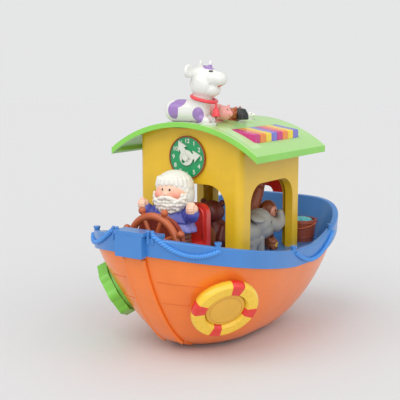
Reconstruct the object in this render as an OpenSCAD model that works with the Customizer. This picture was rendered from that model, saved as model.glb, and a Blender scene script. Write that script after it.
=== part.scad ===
// Toy ark on wheels: hull, cabin, roof keyboard, animal push buttons, clock and helm.
// Millimetres. +Z is up, the bow points to -Y and port is +X. The origin lies on the ground under the middle.

/* [Hull] */
// Length from the front of the bow block to the stern rail
hull_l = 342; // [330:1:360]
// Greatest width over the rail
beam = 226; // [216:1:240]
// Height of the rail's lowest point above the ground
rail_low_z = 115; // [113:0.5:118]
// Rise of the rail at the bow
bow_rise = 33; // [28:0.5:38]
// Rise of the rail at the stern
stern_rise = 39.5; // [34:0.5:44]
// Gap between the ground and the flat bottom
ground_gap = 5; // [4:0.5:7]
// Wall of the hull shell
hull_wall = 2.5; // [2:0.1:3]
// Width of the raised stem band
stem_w = 26; // [20:1:30]
// How far the stem band stands proud
stem_proud = 4; // [2:0.5:5]

/* [Gunwale and deck] */
// Height of the blue band outside
band_h = 20; // [17:0.5:22]
// Width of the rail's top
rail_w = 6.5; // [5.5:0.1:7.5]
// Height of the deck above the ground
deck_z = 104; // [102:0.5:106]
// Thickness of the deck
deck_t = 3; // [2:0.5:4]
// Width of the bow block
block_w = 36; // [30:1:40]
// How far the bow block stands in front of the rail
block_proud = 6.5; // [5:0.5:9]
// Radius of the moulded rope
rope_r = 2.7; // [2.2:0.1:3]
// Sag of each rope swag below its posts
rope_sag = 13; // [8:0.5:15]

/* [Cabin] */
// Width of the cabin
cabin_w = 142; // [136:1:148]
// Length of the cabin
cabin_l = 145; // [140:1:150]
// Middle of the cabin along the ship
cabin_y = 14; // [11:1:17]
// Thickness of the cabin walls
cabin_wall = 3; // [2.5:0.1:4]
// Width of each of the four openings
opening_w = 102; // [94:1:106]
// Height of each opening above the deck
opening_h = 89; // [84:1:93]
// Radius of an opening's top corners
opening_r = 25; // [18:1:30]
// Depth of the frame round each opening
reveal_d = 10; // [6:0.5:12]

/* [Roof] */
// Width of the roof
roof_w = 201; // [196:1:206]
// Length of the roof
roof_l = 167; // [162:1:174]
// Radius of the roof's outer arch
roof_r = 166; // [160:1:174]
// Height of the ridge above the deck
ridge_h = 160; // [157:0.5:163]
// Thickness of the roof shell
roof_t = 3; // [2.5:0.1:3.4]
// Thickness of the lip along the roof's edges
lip_t = 6; // [5:0.5:8]

/* [Keyboard and animal buttons] */
// Spacing of the piano keys
key_pitch = 13.1; // [12.4:0.1:13.6]
// Gap between two keys
key_gap = 0.6; // [0.4:0.1:1]
// Length of a key's top
key_l = 31.5; // [28:0.5:33]
// Radius of the hinge rod
key_rod_r = 1.5; // [1.2:0.1:1.8]
// Angle through which a key tips
key_tip = 6; // [4:0.5:6]
// Spacing of the animals along the ridge
animal_pitch = 32; // [30:0.5:34]
// Travel of an animal button
animal_travel = 2.5; // [1.5:0.1:2.5]

/* [Clock and helm] */
// Diameter over the clock's rim
clock_d = 50; // [44:1:54]
// Drop of the clock's middle below the ridge
clock_drop = 41.3; // [38:0.1:44]
// Outer radius of the helm's rim
helm_r = 36; // [33:1:37]
// Radius of the helm's pin
helm_pin_r = 3; // [2.5:0.1:4]
// Height of the helm's middle above the deck
helm_h = 28; // [26:0.5:32]

/* [Life ring and spinner] */
// Outer diameter of the life ring
ring_d = 78; // [74:1:82]
// Radius of the life ring's tube
ring_tube_r = 8; // [7:0.5:9]
// Travel of the button in the ring's middle
ring_travel = 2.5; // [1.5:0.1:2.5]

/* [Running gear and battery box] */
// Radius of a road wheel
wheel_r = 12; // [11:0.5:12.5]
// Width of a road wheel
wheel_w = 8; // [6:0.5:9]
// Distance between the middles of two wheels on one axle
track = 60; // [58:1:61]
// Distance between the axles
wheelbase = 66; // [65:0.5:67]
// Radius of an axle
axle_r = 2; // [1.5:0.1:2.5]
// Length of a cell
cell_l = 50.5; // [50:0.5:51]
// Diameter of a cell
cell_d = 14.5; // [14:0.1:14.8]

/* [Hidden] */

// Fineness of round cuts and of the small figures
$fn = 64;
blob_fn = 12;
// Cut allowance, seat gap and running clearance
eps = 0.5;
seat_gap = 0.3;
run_gap = 0.05;
slide_gap = 0.6;

// Hull form: rail plan, sheer and sections
bow_y = -hull_l / 2 + block_proud;
stern_y = hull_l / 2;
mid_y = -4;
low_y = 27.5;
bow_power = 2.5;
keel_power = 1.9;
stern_power = 4.2;
bow_sheer_power = 1.4;
stern_sheer_power = 1.67;
side_flat = 0.43;
side_power = 1.0;
bow_flat = 0.43;
bow_fall_power = 1.25;
stern_flat = 0.40;
stern_fall_power = 2.2;
bilge_power = 1.65;
hull_inset = 4;
band_t = 3.4;
tuck = 3;
steps_down = 11;
levels = concat([0, 0.03], [for (k = [0:steps_down]) 0.06 + 0.94 * k / steps_down]);
stem_start = 0.05;
ring_steps = 72;
rail_steps = 96;
bulwark_t = 2.5;
bulwark_inset = 20;

// Ropes and posts by their angle round the rail
post_angles = [45, 90, 109];
cleat_angles = [7, 9.4];
cleat_r = 2;
cleat_h = 12.5;
cleat_drop = 6;
rope_drop = 3.5;

// Deck well for the helm, and the long bosses that tie deck and base together
helm_y = bow_y + 38.5;
helm_z = deck_z + helm_h;
helm_tube_r = 4.2;
handle_l = 8;
helm_reach = helm_r + handle_l;
well_r = helm_reach + 2;
well_wall = 2;
well_half = 7;
boss_r = 5;
pilot_r = 1.4;
boss_spots = [[14, -56], [-14, -56], [36, 8], [-36, 8]];

// Base plate and axles
base_t = 3;
base_gap = 0.5;
base_top = ground_gap + base_t;
axle_z = wheel_r;
axle_mid = 9;
axle_ys = [axle_mid - wheelbase / 2, axle_mid + wheelbase / 2];
lug_w = 5;
lug_l = 7;
lug_x = track / 2 - wheel_w / 2 - 4;
wheel_slot_gap = 1.2;
screw_r = 1.5;
screw_head_r = 3;

// Battery box
cells_n = 3;
bay_wall = 1.5;
bay_l = cell_l + 5;
bay_w = cells_n * cell_d + 2;
bay_y = axle_mid;
bay_h = cell_d + 3;
door_t = 2;
cell_z = ground_gap + door_t + seat_gap + cell_d / 2;
contact_t = 0.6;
door_screw_y = bay_y + bay_l / 2 - 3;

// Cabin heights, roof arch
ridge_z = deck_z + ridge_h;
roof_cz = ridge_z - roof_r;
roof_y = cabin_y - 5;
soffit_r = roof_r - roof_t;
lip_w = 4;
cabin_front = cabin_y - cabin_l / 2;
cabin_back = cabin_y + cabin_l / 2;
cabin_corner_r = 9;
reveal_t = 2.5;
opening_top = deck_z + opening_h;
ceiling_z = opening_top + reveal_t;
ceiling_t = 2.5;
board_z = ridge_z - 31;
board_t = 1.6;
board_post_r = 3.5;
board_w = 60;
board_l = 130;
board_y = cabin_y - 3;

// Keyboard: the keys tip about a rod under the roof at their inner end
keys_n = 8;
key_x = 50.5;
keys_y = cabin_y - 9.5;
slot_gap = 0.6;
rod_x = key_x - 3.5;
rod_z = roof_top(key_x) - 6.6;
key_back_z = roof_top(key_x) + 0.3;
key_front_x = key_x + key_l;
key_front_z = key_back_z - 5.4;
key_bottom_z = key_front_z - 10;
tray_top = rod_z - 16.4;
tray_t = 3;
tray_reach = 2.2;
bracket_t = 2.5;
key_dome_r = 4;
key_dome_x = key_front_x - 10;
key_dome_h = key_bottom_z - (key_dome_x + key_dome_r - rod_x) * sin(key_tip) - seat_gap - tray_top;

// Animal buttons: Y place along the ridge, length from tail end to front end of the plug, plug radius
animal_y0 = cabin_front + 4.5;
plunger_r = 4;
plunger_back = 5;
plunger_bottom = ridge_z - 23;
plug_depth = 4.5;
plug_sink = 0.5;
cow_plug = [-18, 22, 12];
pig_plug = [-13, 13, 10.4];
horse_plug = [-15, 15, 9.6];
lamb_plug = [0, 19, 8.2];

// Clock
clock_z = ridge_z - clock_drop;
clock_t = 2;
clock_rim_w = 1.6;
spindle_r = 2;
hands_t = 2;
hands_hub_r = 9;

// Chair and captain
chair_w = 57;
chair_y = cabin_front;
chair_back_t = 8;
chair_back_h = 67;
seat_h = 24;
seat_l = 44;
captain_y = chair_y - 28.5;
captain_z = deck_z + seat_h + seat_gap;

// Life ring on the port bow, spinner at the mirrored place
ring_c = [76.2, -99.2, 65.5];
ring_tilt = 30;
ring_az = -34;
ring_big_r = ring_d / 2 - ring_tube_r;
ring_squash = 6;
ring_back_t = 2.5;
ring_root = 12.5;
ring_root_r = ring_big_r + 2;
ring_button_r = ring_big_r - ring_tube_r - 0.4;
spinner_lobes = 8;
spinner_r = 32;
spinner_lobe_r = 8.5;
spinner_lobe_c = spinner_r - 6;
spinner_steps = 160;
spinner_z = -6.5;
spinner_t = 12;
spinner_pin_r = 4;

// Bucket at the stern
bucket_p = [60, stern_y - 58, deck_z];
bucket_r = [15, 19];
bucket_h = 28;
bucket_wall = 1.6;

// Shades used on more than one sub-part
blue = [0.18, 0.48, 0.80];
orange = [0.98, 0.50, 0.20];
yellow = [0.93, 0.76, 0.16];
green = [0.48, 0.80, 0.28];
red = [0.88, 0.14, 0.13];
brown = [0.55, 0.25, 0.13];
dark = [0.22, 0.22, 0.24];
steel = [0.75, 0.76, 0.78];
cream = [0.94, 0.93, 0.88];
key_shades = [[0.78, 0.16, 0.50], [0.96, 0.53, 0.16], [0.97, 0.82, 0.20], [0.42, 0.42, 0.78]];

// Power that keeps the sign
function signed_pow(v, p) = sign(v) * pow(abs(v), p);

// Height of the rail's top edge above the ground at a place along the ship
function sheer(y) = rail_low_z + (y < low_y
    ? bow_rise * pow((low_y - y) / (low_y - bow_y), bow_sheer_power)
    : stern_rise * pow((y - low_y) / (stern_y - low_y), stern_sheer_power));

// Rail outline seen from above; angle 0 is the bow, 90 is port and 180 is the stern
function plan(a, power) =
    let (c = cos(a), q = c > 0 ? power : stern_power, end_y = c > 0 ? bow_y : stern_y)
    [beam / 2 * signed_pow(sin(a), 2 / q), mid_y + (end_y - mid_y) * pow(abs(c), 2 / q)];

// Direction square to the outline, towards the inside
function inward(a, power) =
    let (d = plan(a + 0.5, power) - plan(a - 0.5, power))
    [-d.y, d.x] / norm(d);

// Outline point moved inwards
function inset_plan(a, inset, power) = plan(a, power) + inset * inward(a, power);

// Rail point: inset from the outline, drop below the sheer
function rail_point(a, inset, drop) =
    let (p = inset_plan(a, inset, bow_power))
    [p.x, p.y, sheer(plan(a, bow_power).y) - drop];

// Share of the rail's reach that is left at a level; level 0 is the top and 1 the flat bottom
function fall(level, flat, power) = flat + (1 - flat) * pow(max(0, 1 - pow(level, power)), 1 / bilge_power);

// Point of the hull's outer skin
function hull_point(a, level) =
    let (power = bow_power + (keel_power - bow_power) * level)
    let (top = inset_plan(a, hull_inset, power))
    let (fy = cos(a) > 0 ? fall(level, bow_flat, bow_fall_power) : fall(level, stern_flat, stern_fall_power))
    let (z = sheer(plan(a, power).y) - band_h + tuck)
    [top.x * fall(level, side_flat, side_power), mid_y + (top.y - mid_y) * fy, z + (ground_gap - z) * level];

// Angle at which the hull's skin meets the edge of the stem band
function stem_angle(level) =
    let (power = bow_power + (keel_power - bow_power) * level)
    asin(pow(stem_w / 2 / ((beam / 2 - hull_inset) * fall(level, side_flat, side_power)), power / 2));

// Skin point moved into the shell: inwards by the wall, and up where the skin turns flat
function inner_point(a, level) =
    let (p = hull_point(a, level), n = inward(a, bow_power))
    [p.x + n.x * hull_wall, p.y + n.y * hull_wall, p.z + hull_wall * pow(level, 3)];

// One ring round the hull: the skin from one edge of the stem band to the other, then across the band
function hull_ring(level, inside) =
    let (a0 = stem_angle(level), span = 360 - 2 * a0)
    let (skin = [for (i = [0:ring_steps]) let (a = a0 + span * i / ring_steps)
        inside ? inner_point(a, level) : hull_point(a, level)])
    let (proud = inside || level < stem_start ? 0 : stem_proud, half = stem_w / 2 * (inside ? 0.9 : 1))
    let (edge = skin[0], nose = inside ? inner_point(0, level) : hull_point(0, level))
    concat(skin, [for (u = [-1, -0.5, 0, 0.5, 1])
        let (w = 1 - u * u)
        [u * half, edge.y + (nose.y - edge.y) * w - proud, edge.z + (nose.z - edge.z) * w]]);

// Faces that join rings of equal length into a closed tube, the last ring back to the first
function tube_faces(rings, count) = [for (i = [0:rings - 1], j = [0:count - 1])
    let (i2 = (i + 1) % rings, j2 = (j + 1) % count)
    each [[i * count + j, i2 * count + j, i2 * count + j2],
        [i * count + j, i2 * count + j2, i * count + j2]]];

// Faces of an open run of rings with its two end caps
function rod_faces(rings, count) = concat(
    [for (i = [0:rings - 2], j = [0:count - 1])
        let (j2 = (j + 1) % count)
        each [[i * count + j, (i + 1) * count + j2, (i + 1) * count + j],
            [i * count + j, i * count + j2, (i + 1) * count + j2]]],
    [[for (j = [count - 1:-1:0]) j]],
    [[for (j = [0:count - 1]) (rings - 1) * count + j]]);

// Flattens a list of rings into one list of points
function flat_list(rings) = [for (ring = rings) each ring];

// Height of the roof's outer and inner skin at a distance from the ridge
function roof_top(x) = roof_cz + sqrt(roof_r * roof_r - x * x);

// Middle of a key and of an animal along the ship
function key_y(i) = keys_y + (i - (keys_n + 1) / 2) * key_pitch;
function animal_y(i) = animal_y0 + i * animal_pitch;

// Box given by its low corner and high corner
module block(low, high) {
    translate(low) cube(high - low);
}

// Upright box with rounded vertical edges, standing on z = 0
module rounded_box(w, l, h, r) {
    cube_w = w - 2 * r;
    cube_l = l - 2 * r;
    translate([-cube_w / 2, -l / 2, 0]) cube([cube_w, l, h]);
    translate([-w / 2, -cube_l / 2, 0]) cube([w, cube_l, h]);
    for (x = [-1, 1], y = [-1, 1]) translate([x * cube_w / 2, y * cube_l / 2, 0]) cylinder(r = r, h = h);
}

// Arched opening along Y, standing on z = 0, grown by a margin
module arch_cutter(depth, margin) {
    half = opening_w / 2 + margin;
    top = opening_h + margin;
    r = opening_r + margin;
    translate([-half, 0, -eps]) cube([2 * half, depth, top - r + eps]);
    translate([-half + r, 0, -eps]) cube([2 * (half - r), depth, top + eps]);
    for (x = [-1, 1]) translate([x * (half - r), 0, top - r]) rotate([-90, 0, 0]) cylinder(r = r, h = depth);
}

// Places a child on each of the cabin's four walls, outer face at y = 0, inside towards +y
module on_walls() {
    translate([0, cabin_front, deck_z]) children();
    translate([0, cabin_back, deck_z]) rotate([0, 0, 180]) children();
    translate([cabin_w / 2, cabin_y, deck_z]) rotate([0, 0, 90]) children();
    translate([-cabin_w / 2, cabin_y, deck_z]) rotate([0, 0, -90]) children();
}

// Part of a barrel along Y that lies between two radii of the roof's arch
module arch_band(outer, inner, w, l) {
    intersection() {
        translate([-w / 2, roof_y - l / 2, roof_cz]) cube([w, l, roof_r + eps]);
        translate([0, roof_y - l / 2 - eps, roof_cz]) rotate([-90, 0, 0]) difference() {
            cylinder(r = outer, h = l + 2 * eps, $fn = 128);
            translate([0, 0, -eps]) cylinder(r = inner, h = l + 4 * eps, $fn = 128);
        }
    }
}

// Upright slot with round ends along X, for an animal's plug
module plug_slot(plug, margin, low, high) {
    r = plug[2] + margin;
    translate([0, 0, low]) for (x = [plug[0], plug[1]]) translate([x, 0, 0]) cylinder(r = r, h = high - low);
    block([plug[0], -r, low], [plug[1], r, high]);
}

// Rounded lump, and a limb between two lumps
module egg(p, size, turn = [0, 0, 0]) {
    hull() translate(p) rotate(turn) scale(size) sphere(1, $fn = blob_fn);
}
module limb(a, ra, b, rb) {
    hull() {
        translate(a) sphere(ra, $fn = blob_fn);
        translate(b) sphere(rb, $fn = blob_fn);
    }
}

// Pan-head screw pointing up, head at the bottom
module screw(l) {
    cylinder(r = screw_head_r, h = 1.6);
    cylinder(r = screw_r - 0.1, h = l);
}

// Hull and running gear

module hull_shell() {
    last = len(levels) - 1;
    outer = [for (k = [0:last]) hull_ring(levels[k], false)];
    inner = [for (k = [last:-1:0]) hull_ring(levels[k], true)];
    rings = concat(outer, inner);
    color(orange) polyhedron(flat_list(rings), tube_faces(len(rings), len(rings[0])));
}

// Outline of the flat bottom inside the hull's lower rim
function base_outline() = [for (i = [0:rail_steps - 1])
    let (a = 360 * i / rail_steps, p = inner_point(a, 1), n = inward(a, bow_power))
    [p.x + n.x * base_gap, p.y + n.y * base_gap]];

module base_plate() {
    slot_l = 2 * sqrt(pow(wheel_r, 2) - pow(axle_z - base_top, 2)) + 2 * wheel_slot_gap;
    slot_w = wheel_w + 2 * wheel_slot_gap;
    color(orange) difference() {
        union() {
            translate([0, 0, ground_gap]) linear_extrude(base_t) polygon(base_outline());
            for (y = axle_ys, x = [-1, 1]) translate([x * lug_x - lug_w / 2, y - lug_l / 2, base_top - eps])
                cube([lug_w, lug_l, axle_z - base_top + lug_l / 2 + eps]);
        }
        for (y = axle_ys, x = [-1, 1])
            translate([x * track / 2 - slot_w / 2, y - slot_l / 2, ground_gap - eps])
                cube([slot_w, slot_l, base_t + 2 * eps]);
        for (y = axle_ys) translate([-track / 2, y, axle_z]) rotate([0, 90, 0])
            cylinder(r = axle_r + run_gap, h = track);
        translate([-bay_w / 2, bay_y - bay_l / 2, ground_gap - eps]) cube([bay_w, bay_l, base_t + 2 * eps]);
        for (p = boss_spots) translate([p.x, p.y, ground_gap - eps]) {
            cylinder(r = screw_r + 0.1, h = base_t + 2 * eps);
            cylinder(r = screw_head_r + 0.3, h = eps + 1.7);
        }
    }
}

module axle(y) {
    l = track + wheel_w;
    color(steel) translate([-l / 2, y, axle_z]) rotate([0, 90, 0]) cylinder(r = axle_r, h = l);
}

module wheels(y) {
    tread_r = 1.5;
    rim_r = wheel_r - 4;
    color(dark) for (x = [-1, 1]) translate([x * track / 2, y, axle_z]) rotate([0, 90, 0])
        translate([0, 0, -wheel_w / 2]) difference() {
            union() {
                cylinder(r = wheel_r - tread_r, h = wheel_w);
                translate([0, 0, tread_r / 2]) cylinder(r = wheel_r, h = wheel_w - tread_r);
            }
            for (z = [-eps, wheel_w - 1]) translate([0, 0, z]) difference() {
                cylinder(r = rim_r, h = 1 + eps);
                translate([0, 0, -eps]) cylinder(r = axle_r + 2, h = 1 + 3 * eps);
            }
            translate([0, 0, -eps]) cylinder(r = axle_r, h = wheel_w + 2 * eps);
        }
}

module battery_box() {
    color(dark) difference() {
        block([-bay_w / 2 - bay_wall, bay_y - bay_l / 2 - bay_wall, base_top],
            [bay_w / 2 + bay_wall, bay_y + bay_l / 2 + bay_wall, base_top + bay_h + bay_wall]);
        block([-bay_w / 2, bay_y - bay_l / 2, base_top - eps],
            [bay_w / 2, bay_y + bay_l / 2, base_top + bay_h]);
    }
}

module cells() {
    cap_l = 1.5;
    color(steel) for (i = [0:cells_n - 1])
        translate([(i - (cells_n - 1) / 2) * cell_d, bay_y - cell_l / 2, cell_z])
            rotate([-90, 0, 0]) {
                cylinder(r = cell_d / 2 - 0.1, h = cell_l - cap_l);
                cylinder(r = 2.7, h = cell_l);
            }
}

module battery_contacts() {
    color("gold") for (end = [-1, 1])
        translate([-bay_w / 2 + 1, bay_y + end * (bay_l / 2 - contact_t / 2) - contact_t / 2, base_top + 1])
            cube([bay_w - 2, contact_t, cell_d - 2]);
}

module battery_door() {
    color(orange) difference() {
        block([-bay_w / 2 + seat_gap, bay_y - bay_l / 2 + seat_gap, ground_gap],
            [bay_w / 2 - seat_gap, bay_y + bay_l / 2 - seat_gap, ground_gap + door_t]);
        translate([0, door_screw_y, ground_gap - eps]) cylinder(r = screw_r, h = door_t + 2 * eps);
    }
}

module battery_screw() {
    color(steel) translate([0, door_screw_y, ground_gap]) cylinder(r = screw_r - 0.1, h = door_t);
}

module base_screws() {
    color(steel) for (p = boss_spots) translate([p.x, p.y, ground_gap]) screw(12);
}

// Gunwale and deck

module gunwale() {
    bevel = 1.2;
    shapes = [[0.8, band_h], [0, bevel], [bevel, 0], [rail_w, 0], [rail_w + bevel, bevel]];
    under = [[rail_w + bevel - bulwark_t, 3], [band_t - 0.6, 3], [band_t, band_h]];
    outer = [for (s = shapes) [for (i = [0:rail_steps - 1]) rail_point(360 * i / rail_steps, s[0], s[1])]];
    feet = [for (inset = [bulwark_inset, bulwark_inset - bulwark_t]) [for (i = [0:rail_steps - 1])
        let (p = inset_plan(360 * i / rail_steps, inset, bow_power)) [p.x, p.y, deck_z]]];
    inner = [for (s = under) [for (i = [0:rail_steps - 1]) rail_point(360 * i / rail_steps, s[0], s[1])]];
    rings = concat(outer, feet, inner);
    faces = tube_faces(len(rings), rail_steps);
    color(blue) polyhedron(flat_list(rings), [for (f = faces) [f[0], f[2], f[1]]]);
}

// Half drum that the helm's lower half turns in
module helm_well(r, half) {
    intersection() {
        translate([0, helm_y - half, helm_z]) rotate([-90, 0, 0]) cylinder(r = r, h = 2 * half, $fn = 96);
        block([-r, helm_y - half, helm_z - r], [r, helm_y + half, deck_z]);
    }
}

module deck() {
    outline = [for (i = [0:rail_steps - 1])
        inset_plan(360 * i / rail_steps, bulwark_inset - bulwark_t, bow_power)];
    chord = sqrt(pow(well_r, 2) - pow(helm_h, 2));
    color(blue) difference() {
        union() {
            translate([0, 0, deck_z - deck_t]) linear_extrude(deck_t) polygon(outline);
            helm_well(well_r + well_wall, well_half + well_wall);
            for (p = boss_spots) translate([p.x, p.y, base_top])
                cylinder(r = boss_r, h = deck_z - base_top - eps);
        }
        helm_well(well_r, well_half);
        block([-chord, helm_y - well_half, deck_z - deck_t], [chord, helm_y + well_half, deck_z + eps]);
        for (p = boss_spots) translate([p.x, p.y, base_top - eps]) cylinder(r = pilot_r, h = 14);
    }
}

module bow_block() {
    plate_w = block_w + 26;
    plate_l = 14;
    plate_t = 4;
    rail_z = sheer(bow_y);
    front = bow_y - block_proud;
    color(blue) {
        block([-block_w / 2, front, rail_z - band_h - 2], [block_w / 2, bow_y + 1.5, rail_z + 2]);
        block([-block_w / 2 - 2, front + 0.5, rail_z + 2],
            [block_w / 2 + 2, bow_y + plate_l, rail_z + 2 + plate_t]);
        block([-plate_w / 2, bow_y + 3, rail_z - 2],
            [plate_w / 2, bow_y + plate_l + 4, rail_z + plate_t - 1]);
    }
}

// Posts on the rail and upright cleats beside the bow block, which carry the ropes
module rail_posts() {
    post_r = 3.2;
    color(blue) for (a = post_angles, side = [-1, 1]) translate(rail_point(side * a, rail_w / 2, 2)) {
        cylinder(r = post_r, h = 5);
        translate([0, 0, 5]) cylinder(r = post_r + 0.8, h = 2);
    }
    color(blue) for (a = cleat_angles, side = [-1, 1]) translate(rail_point(side * a, 0.5, cleat_drop)) {
        cylinder(r = cleat_r, h = cleat_h);
        translate([0, 0, cleat_h]) sphere(cleat_r + 0.3);
    }
}

// A rope hung between two angles of the rail, from one drop below it to another, lying on the band.
// Aft of 90 degrees the outline's angles are bunched, so there the steps grow with a power.
module rope(a1, a2, drop1, drop2, side) {
    steps = 20;
    sides = 6;
    growth = a1 < 90 ? 1 : stern_power / 2;
    path = [for (i = [0:steps]) let (u = i / steps)
        rail_point(side * (a1 + (a2 - a1) * pow(u, growth)), -0.8,
            drop1 + (drop2 - drop1) * u + rope_sag * 4 * u * (1 - u))];
    rings = [for (i = [0:steps])
        let (d = path[min(i + 1, steps)] - path[max(i - 1, 0)])
        let (t = d / norm(d), out = cross(t, [0, 0, 1]), n = out / norm(out), up = cross(n, t))
        [for (j = [0:sides - 1]) path[i] + rope_r * (cos(360 * j / sides) * n + sin(360 * j / sides) * up)]];
    polyhedron(flat_list(rings), rod_faces(len(rings), sides));
}

module rope_swags() {
    color(blue) for (side = [-1, 1]) {
        rope(cleat_angles[1], post_angles[0], cleat_drop - cleat_h + 2, rope_drop, side);
        rope(post_angles[1], post_angles[2], rope_drop, rope_drop, side);
    }
}

// Cabin and roof

// Space that the key tray takes in the port wall, and the cow's plug in the front wall
module wall_notches() {
    reach = keys_n * key_pitch / 2 + bracket_t + 2 * slide_gap;
    block([rod_x - 6, keys_y - reach, tray_top - tray_t - seat_gap],
        [cabin_w / 2 + eps, keys_y + reach, ridge_z]);
    translate([0, animal_y(0), 0])
        plug_slot(cow_plug, 2, ridge_z - plug_depth - animal_travel - 1, ridge_z);
}

module cabin_walls() {
    wall_h = ridge_h;
    color(yellow) difference() {
        intersection() {
            union() {
                translate([0, cabin_y, deck_z]) difference() {
                    rounded_box(cabin_w, cabin_l, wall_h, cabin_corner_r);
                    translate([0, 0, -eps]) rounded_box(cabin_w - 2 * cabin_wall, cabin_l - 2 * cabin_wall,
                        wall_h + 2 * eps, cabin_corner_r - cabin_wall);
                }
                on_walls() translate([0, cabin_wall - eps, 0]) intersection() {
                    arch_cutter(reveal_d - cabin_wall + eps, reveal_t);
                    translate([-opening_w, 0, 0]) cube([2 * opening_w, reveal_d, wall_h]);
                }
            }
            translate([0, cabin_y - cabin_l, roof_cz]) rotate([-90, 0, 0])
                cylinder(r = soffit_r - seat_gap, h = 2 * cabin_l, $fn = 128);
        }
        on_walls() translate([0, -eps, 0]) arch_cutter(reveal_d + 2 * eps, 0);
        wall_notches();
        translate([0, cabin_front - eps, clock_z]) rotate([-90, 0, 0])
            cylinder(r = spindle_r, h = cabin_wall + 2 * eps);
    }
}

module roof() {
    keys_l = keys_n * key_pitch;
    plugs = [cow_plug, pig_plug, horse_plug, lamb_plug];
    color(green) difference() {
        arch_band(roof_r, roof_r - lip_t, roof_w, roof_l);
        arch_band(soffit_r, roof_r - lip_t - 2, roof_w - 2 * lip_w, roof_l - 2 * lip_w);
        block([key_x - slot_gap, keys_y - keys_l / 2 - slot_gap, tray_top], [key_front_x + slot_gap,
            keys_y + keys_l / 2 + slot_gap, ridge_z]);
        for (i = [0:len(plugs) - 1]) translate([0, animal_y(i), 0])
            plug_slot(plugs[i], slide_gap, ridge_z - 25, ridge_z + eps);
    }
}

module ceiling_plate() {
    w = cabin_w - 2 * cabin_wall - 2 * seat_gap;
    l = cabin_l - 2 * cabin_wall - 2 * seat_gap;
    hole_r = 1.6;
    color(yellow) difference() {
        union() {
            translate([0, cabin_y, ceiling_z]) rounded_box(w, l, ceiling_t, cabin_corner_r - cabin_wall);
            for (x = [-1, 1], y = [-1, 1])
                translate([x * (board_w / 2 - 5), board_y + y * (board_l / 2 - 5), ceiling_z + ceiling_t])
                    translate([0, 0, -eps])
                        cylinder(r = board_post_r, h = board_z - ceiling_z - ceiling_t + eps);
        }
        for (x = [-2:2], y = [-2:2]) translate([x * 6, cabin_y + y * 6, ceiling_z - eps])
            cylinder(r = hole_r, h = ceiling_t + 2 * eps, $fn = 24);
    }
}

module rear_pelmet() {
    band = 17;
    t = 3;
    hem = opening_h * 0.73;
    color(red) translate([0, cabin_back - reveal_d / 2, deck_z]) intersection() {
        difference() {
            arch_cutter(t, -seat_gap);
            translate([0, -eps, 0]) arch_cutter(t + 2 * eps, -band);
        }
        translate([-opening_w, -eps, hem]) cube([2 * opening_w, t + 2 * eps, opening_h]);
    }
}

module circuit_board() {
    color("darkgreen") translate([-board_w / 2, board_y - board_l / 2, board_z])
        cube([board_w, board_l, board_t]);
}

module animal_domes() {
    dome_h = plunger_bottom - animal_travel - 2 * seat_gap - board_z - board_t;
    color(dark) for (i = [0:3]) translate([0, animal_y(i) + plunger_back, board_z + board_t])
        cylinder(r1 = 6, r2 = 4, h = dome_h);
}

module speaker() {
    r = 20;
    color(dark) translate([0, cabin_y, ceiling_z + ceiling_t]) {
        cylinder(r = r, h = 3);
        translate([0, 0, 3]) cylinder(r1 = r - 2, r2 = 9, h = 8);
        translate([0, 0, 11]) cylinder(r = 10, h = 6);
    }
}

// Keyboard

module key_tray() {
    half = keys_n * key_pitch / 2;
    color(dark) difference() {
        union() {
            block([rod_x - 5, keys_y - half - bracket_t - slide_gap, tray_top - tray_t],
                [key_front_x + tray_reach, keys_y + half + bracket_t + slide_gap, tray_top]);
            for (side = [-1, 1])
                translate([rod_x - 4, keys_y + side * (half + slide_gap + bracket_t / 2), tray_top - eps])
                    translate([0, -bracket_t / 2, 0]) cube([8, bracket_t, rod_z + 2.4 - tray_top + eps]);
        }
        translate([rod_x, keys_y - half - 10, rod_z]) rotate([-90, 0, 0])
            cylinder(r = key_rod_r, h = 2 * half + 20);
    }
}

module key_rod() {
    l = keys_n * key_pitch + 2 * bracket_t + 2 * slide_gap;
    color(steel) translate([rod_x, keys_y - l / 2, rod_z]) rotate([-90, 0, 0]) cylinder(r = key_rod_r, h = l);
}

module key_domes() {
    color(dark) for (i = [1:keys_n]) translate([key_dome_x, key_y(i), tray_top])
        cylinder(r1 = key_dome_r, r2 = key_dome_r - 1, h = key_dome_h);
}

// One key: tail on the rod under the roof, wedge above it, front skirt that reaches into the slot
module piano_key(i) {
    tail = 3.5;
    profile = [[rod_x - tail, rod_z - 3], [rod_x - tail, rod_z + 2.5], [key_x, rod_z + 2.5],
        [key_x, key_back_z], [key_front_x, key_front_z], [key_front_x, key_bottom_z],
        [key_x + 10, key_bottom_z]];
    w = key_pitch - key_gap;
    color(key_shades[(i - 1) % 4]) difference() {
        translate([0, key_y(i) + w / 2, 0]) rotate([90, 0, 0]) linear_extrude(w) polygon(profile);
        translate([rod_x, key_y(i) - w, rod_z]) rotate([-90, 0, 0])
            cylinder(r = key_rod_r + run_gap, h = 2 * w);
    }
}

// Animal buttons: a figure on a plug that slides in the roof, with a plunger for the switch below

module button_base(plug) {
    hull() for (x = [plug[0], plug[1]]) translate([x, 0, -plug_depth])
        cylinder(r = plug[2], h = plug_depth - plug_sink, $fn = 32);
    hull() translate([0, plunger_back, plunger_bottom - ridge_z])
        cylinder(r = plunger_r, h = ridge_z - plunger_bottom - plug_depth + eps, $fn = 24);
}

module cow() {
    color(cream) translate([0, animal_y(0), ridge_z]) {
        button_base(cow_plug);
        limb([-20, 0, 12], 13.4, [12, 0, 12], 13);
        limb([12, 0, 16], 12, [19, 0, 34], 11.5);
        egg([18, 0, 47], [17, 16.5, 17]);
        egg([21, 0, 39.5], [15, 14.5, 15]);
        egg([37, 0, 47], [12, 11, 10.5]);
        for (side = [-1, 1]) {
            limb([16, side * 5.5, 5], 5.5, [26, side * 5.5, 1], 4.6);
            limb([20, side * 7.5, 58], 2.8, [21, side * 8.5, 66], 1.9);
            egg([9, side * 19, 56], [4, 8, 6.5], [side * 20, 0, 0]);
        }
    }
}

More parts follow.
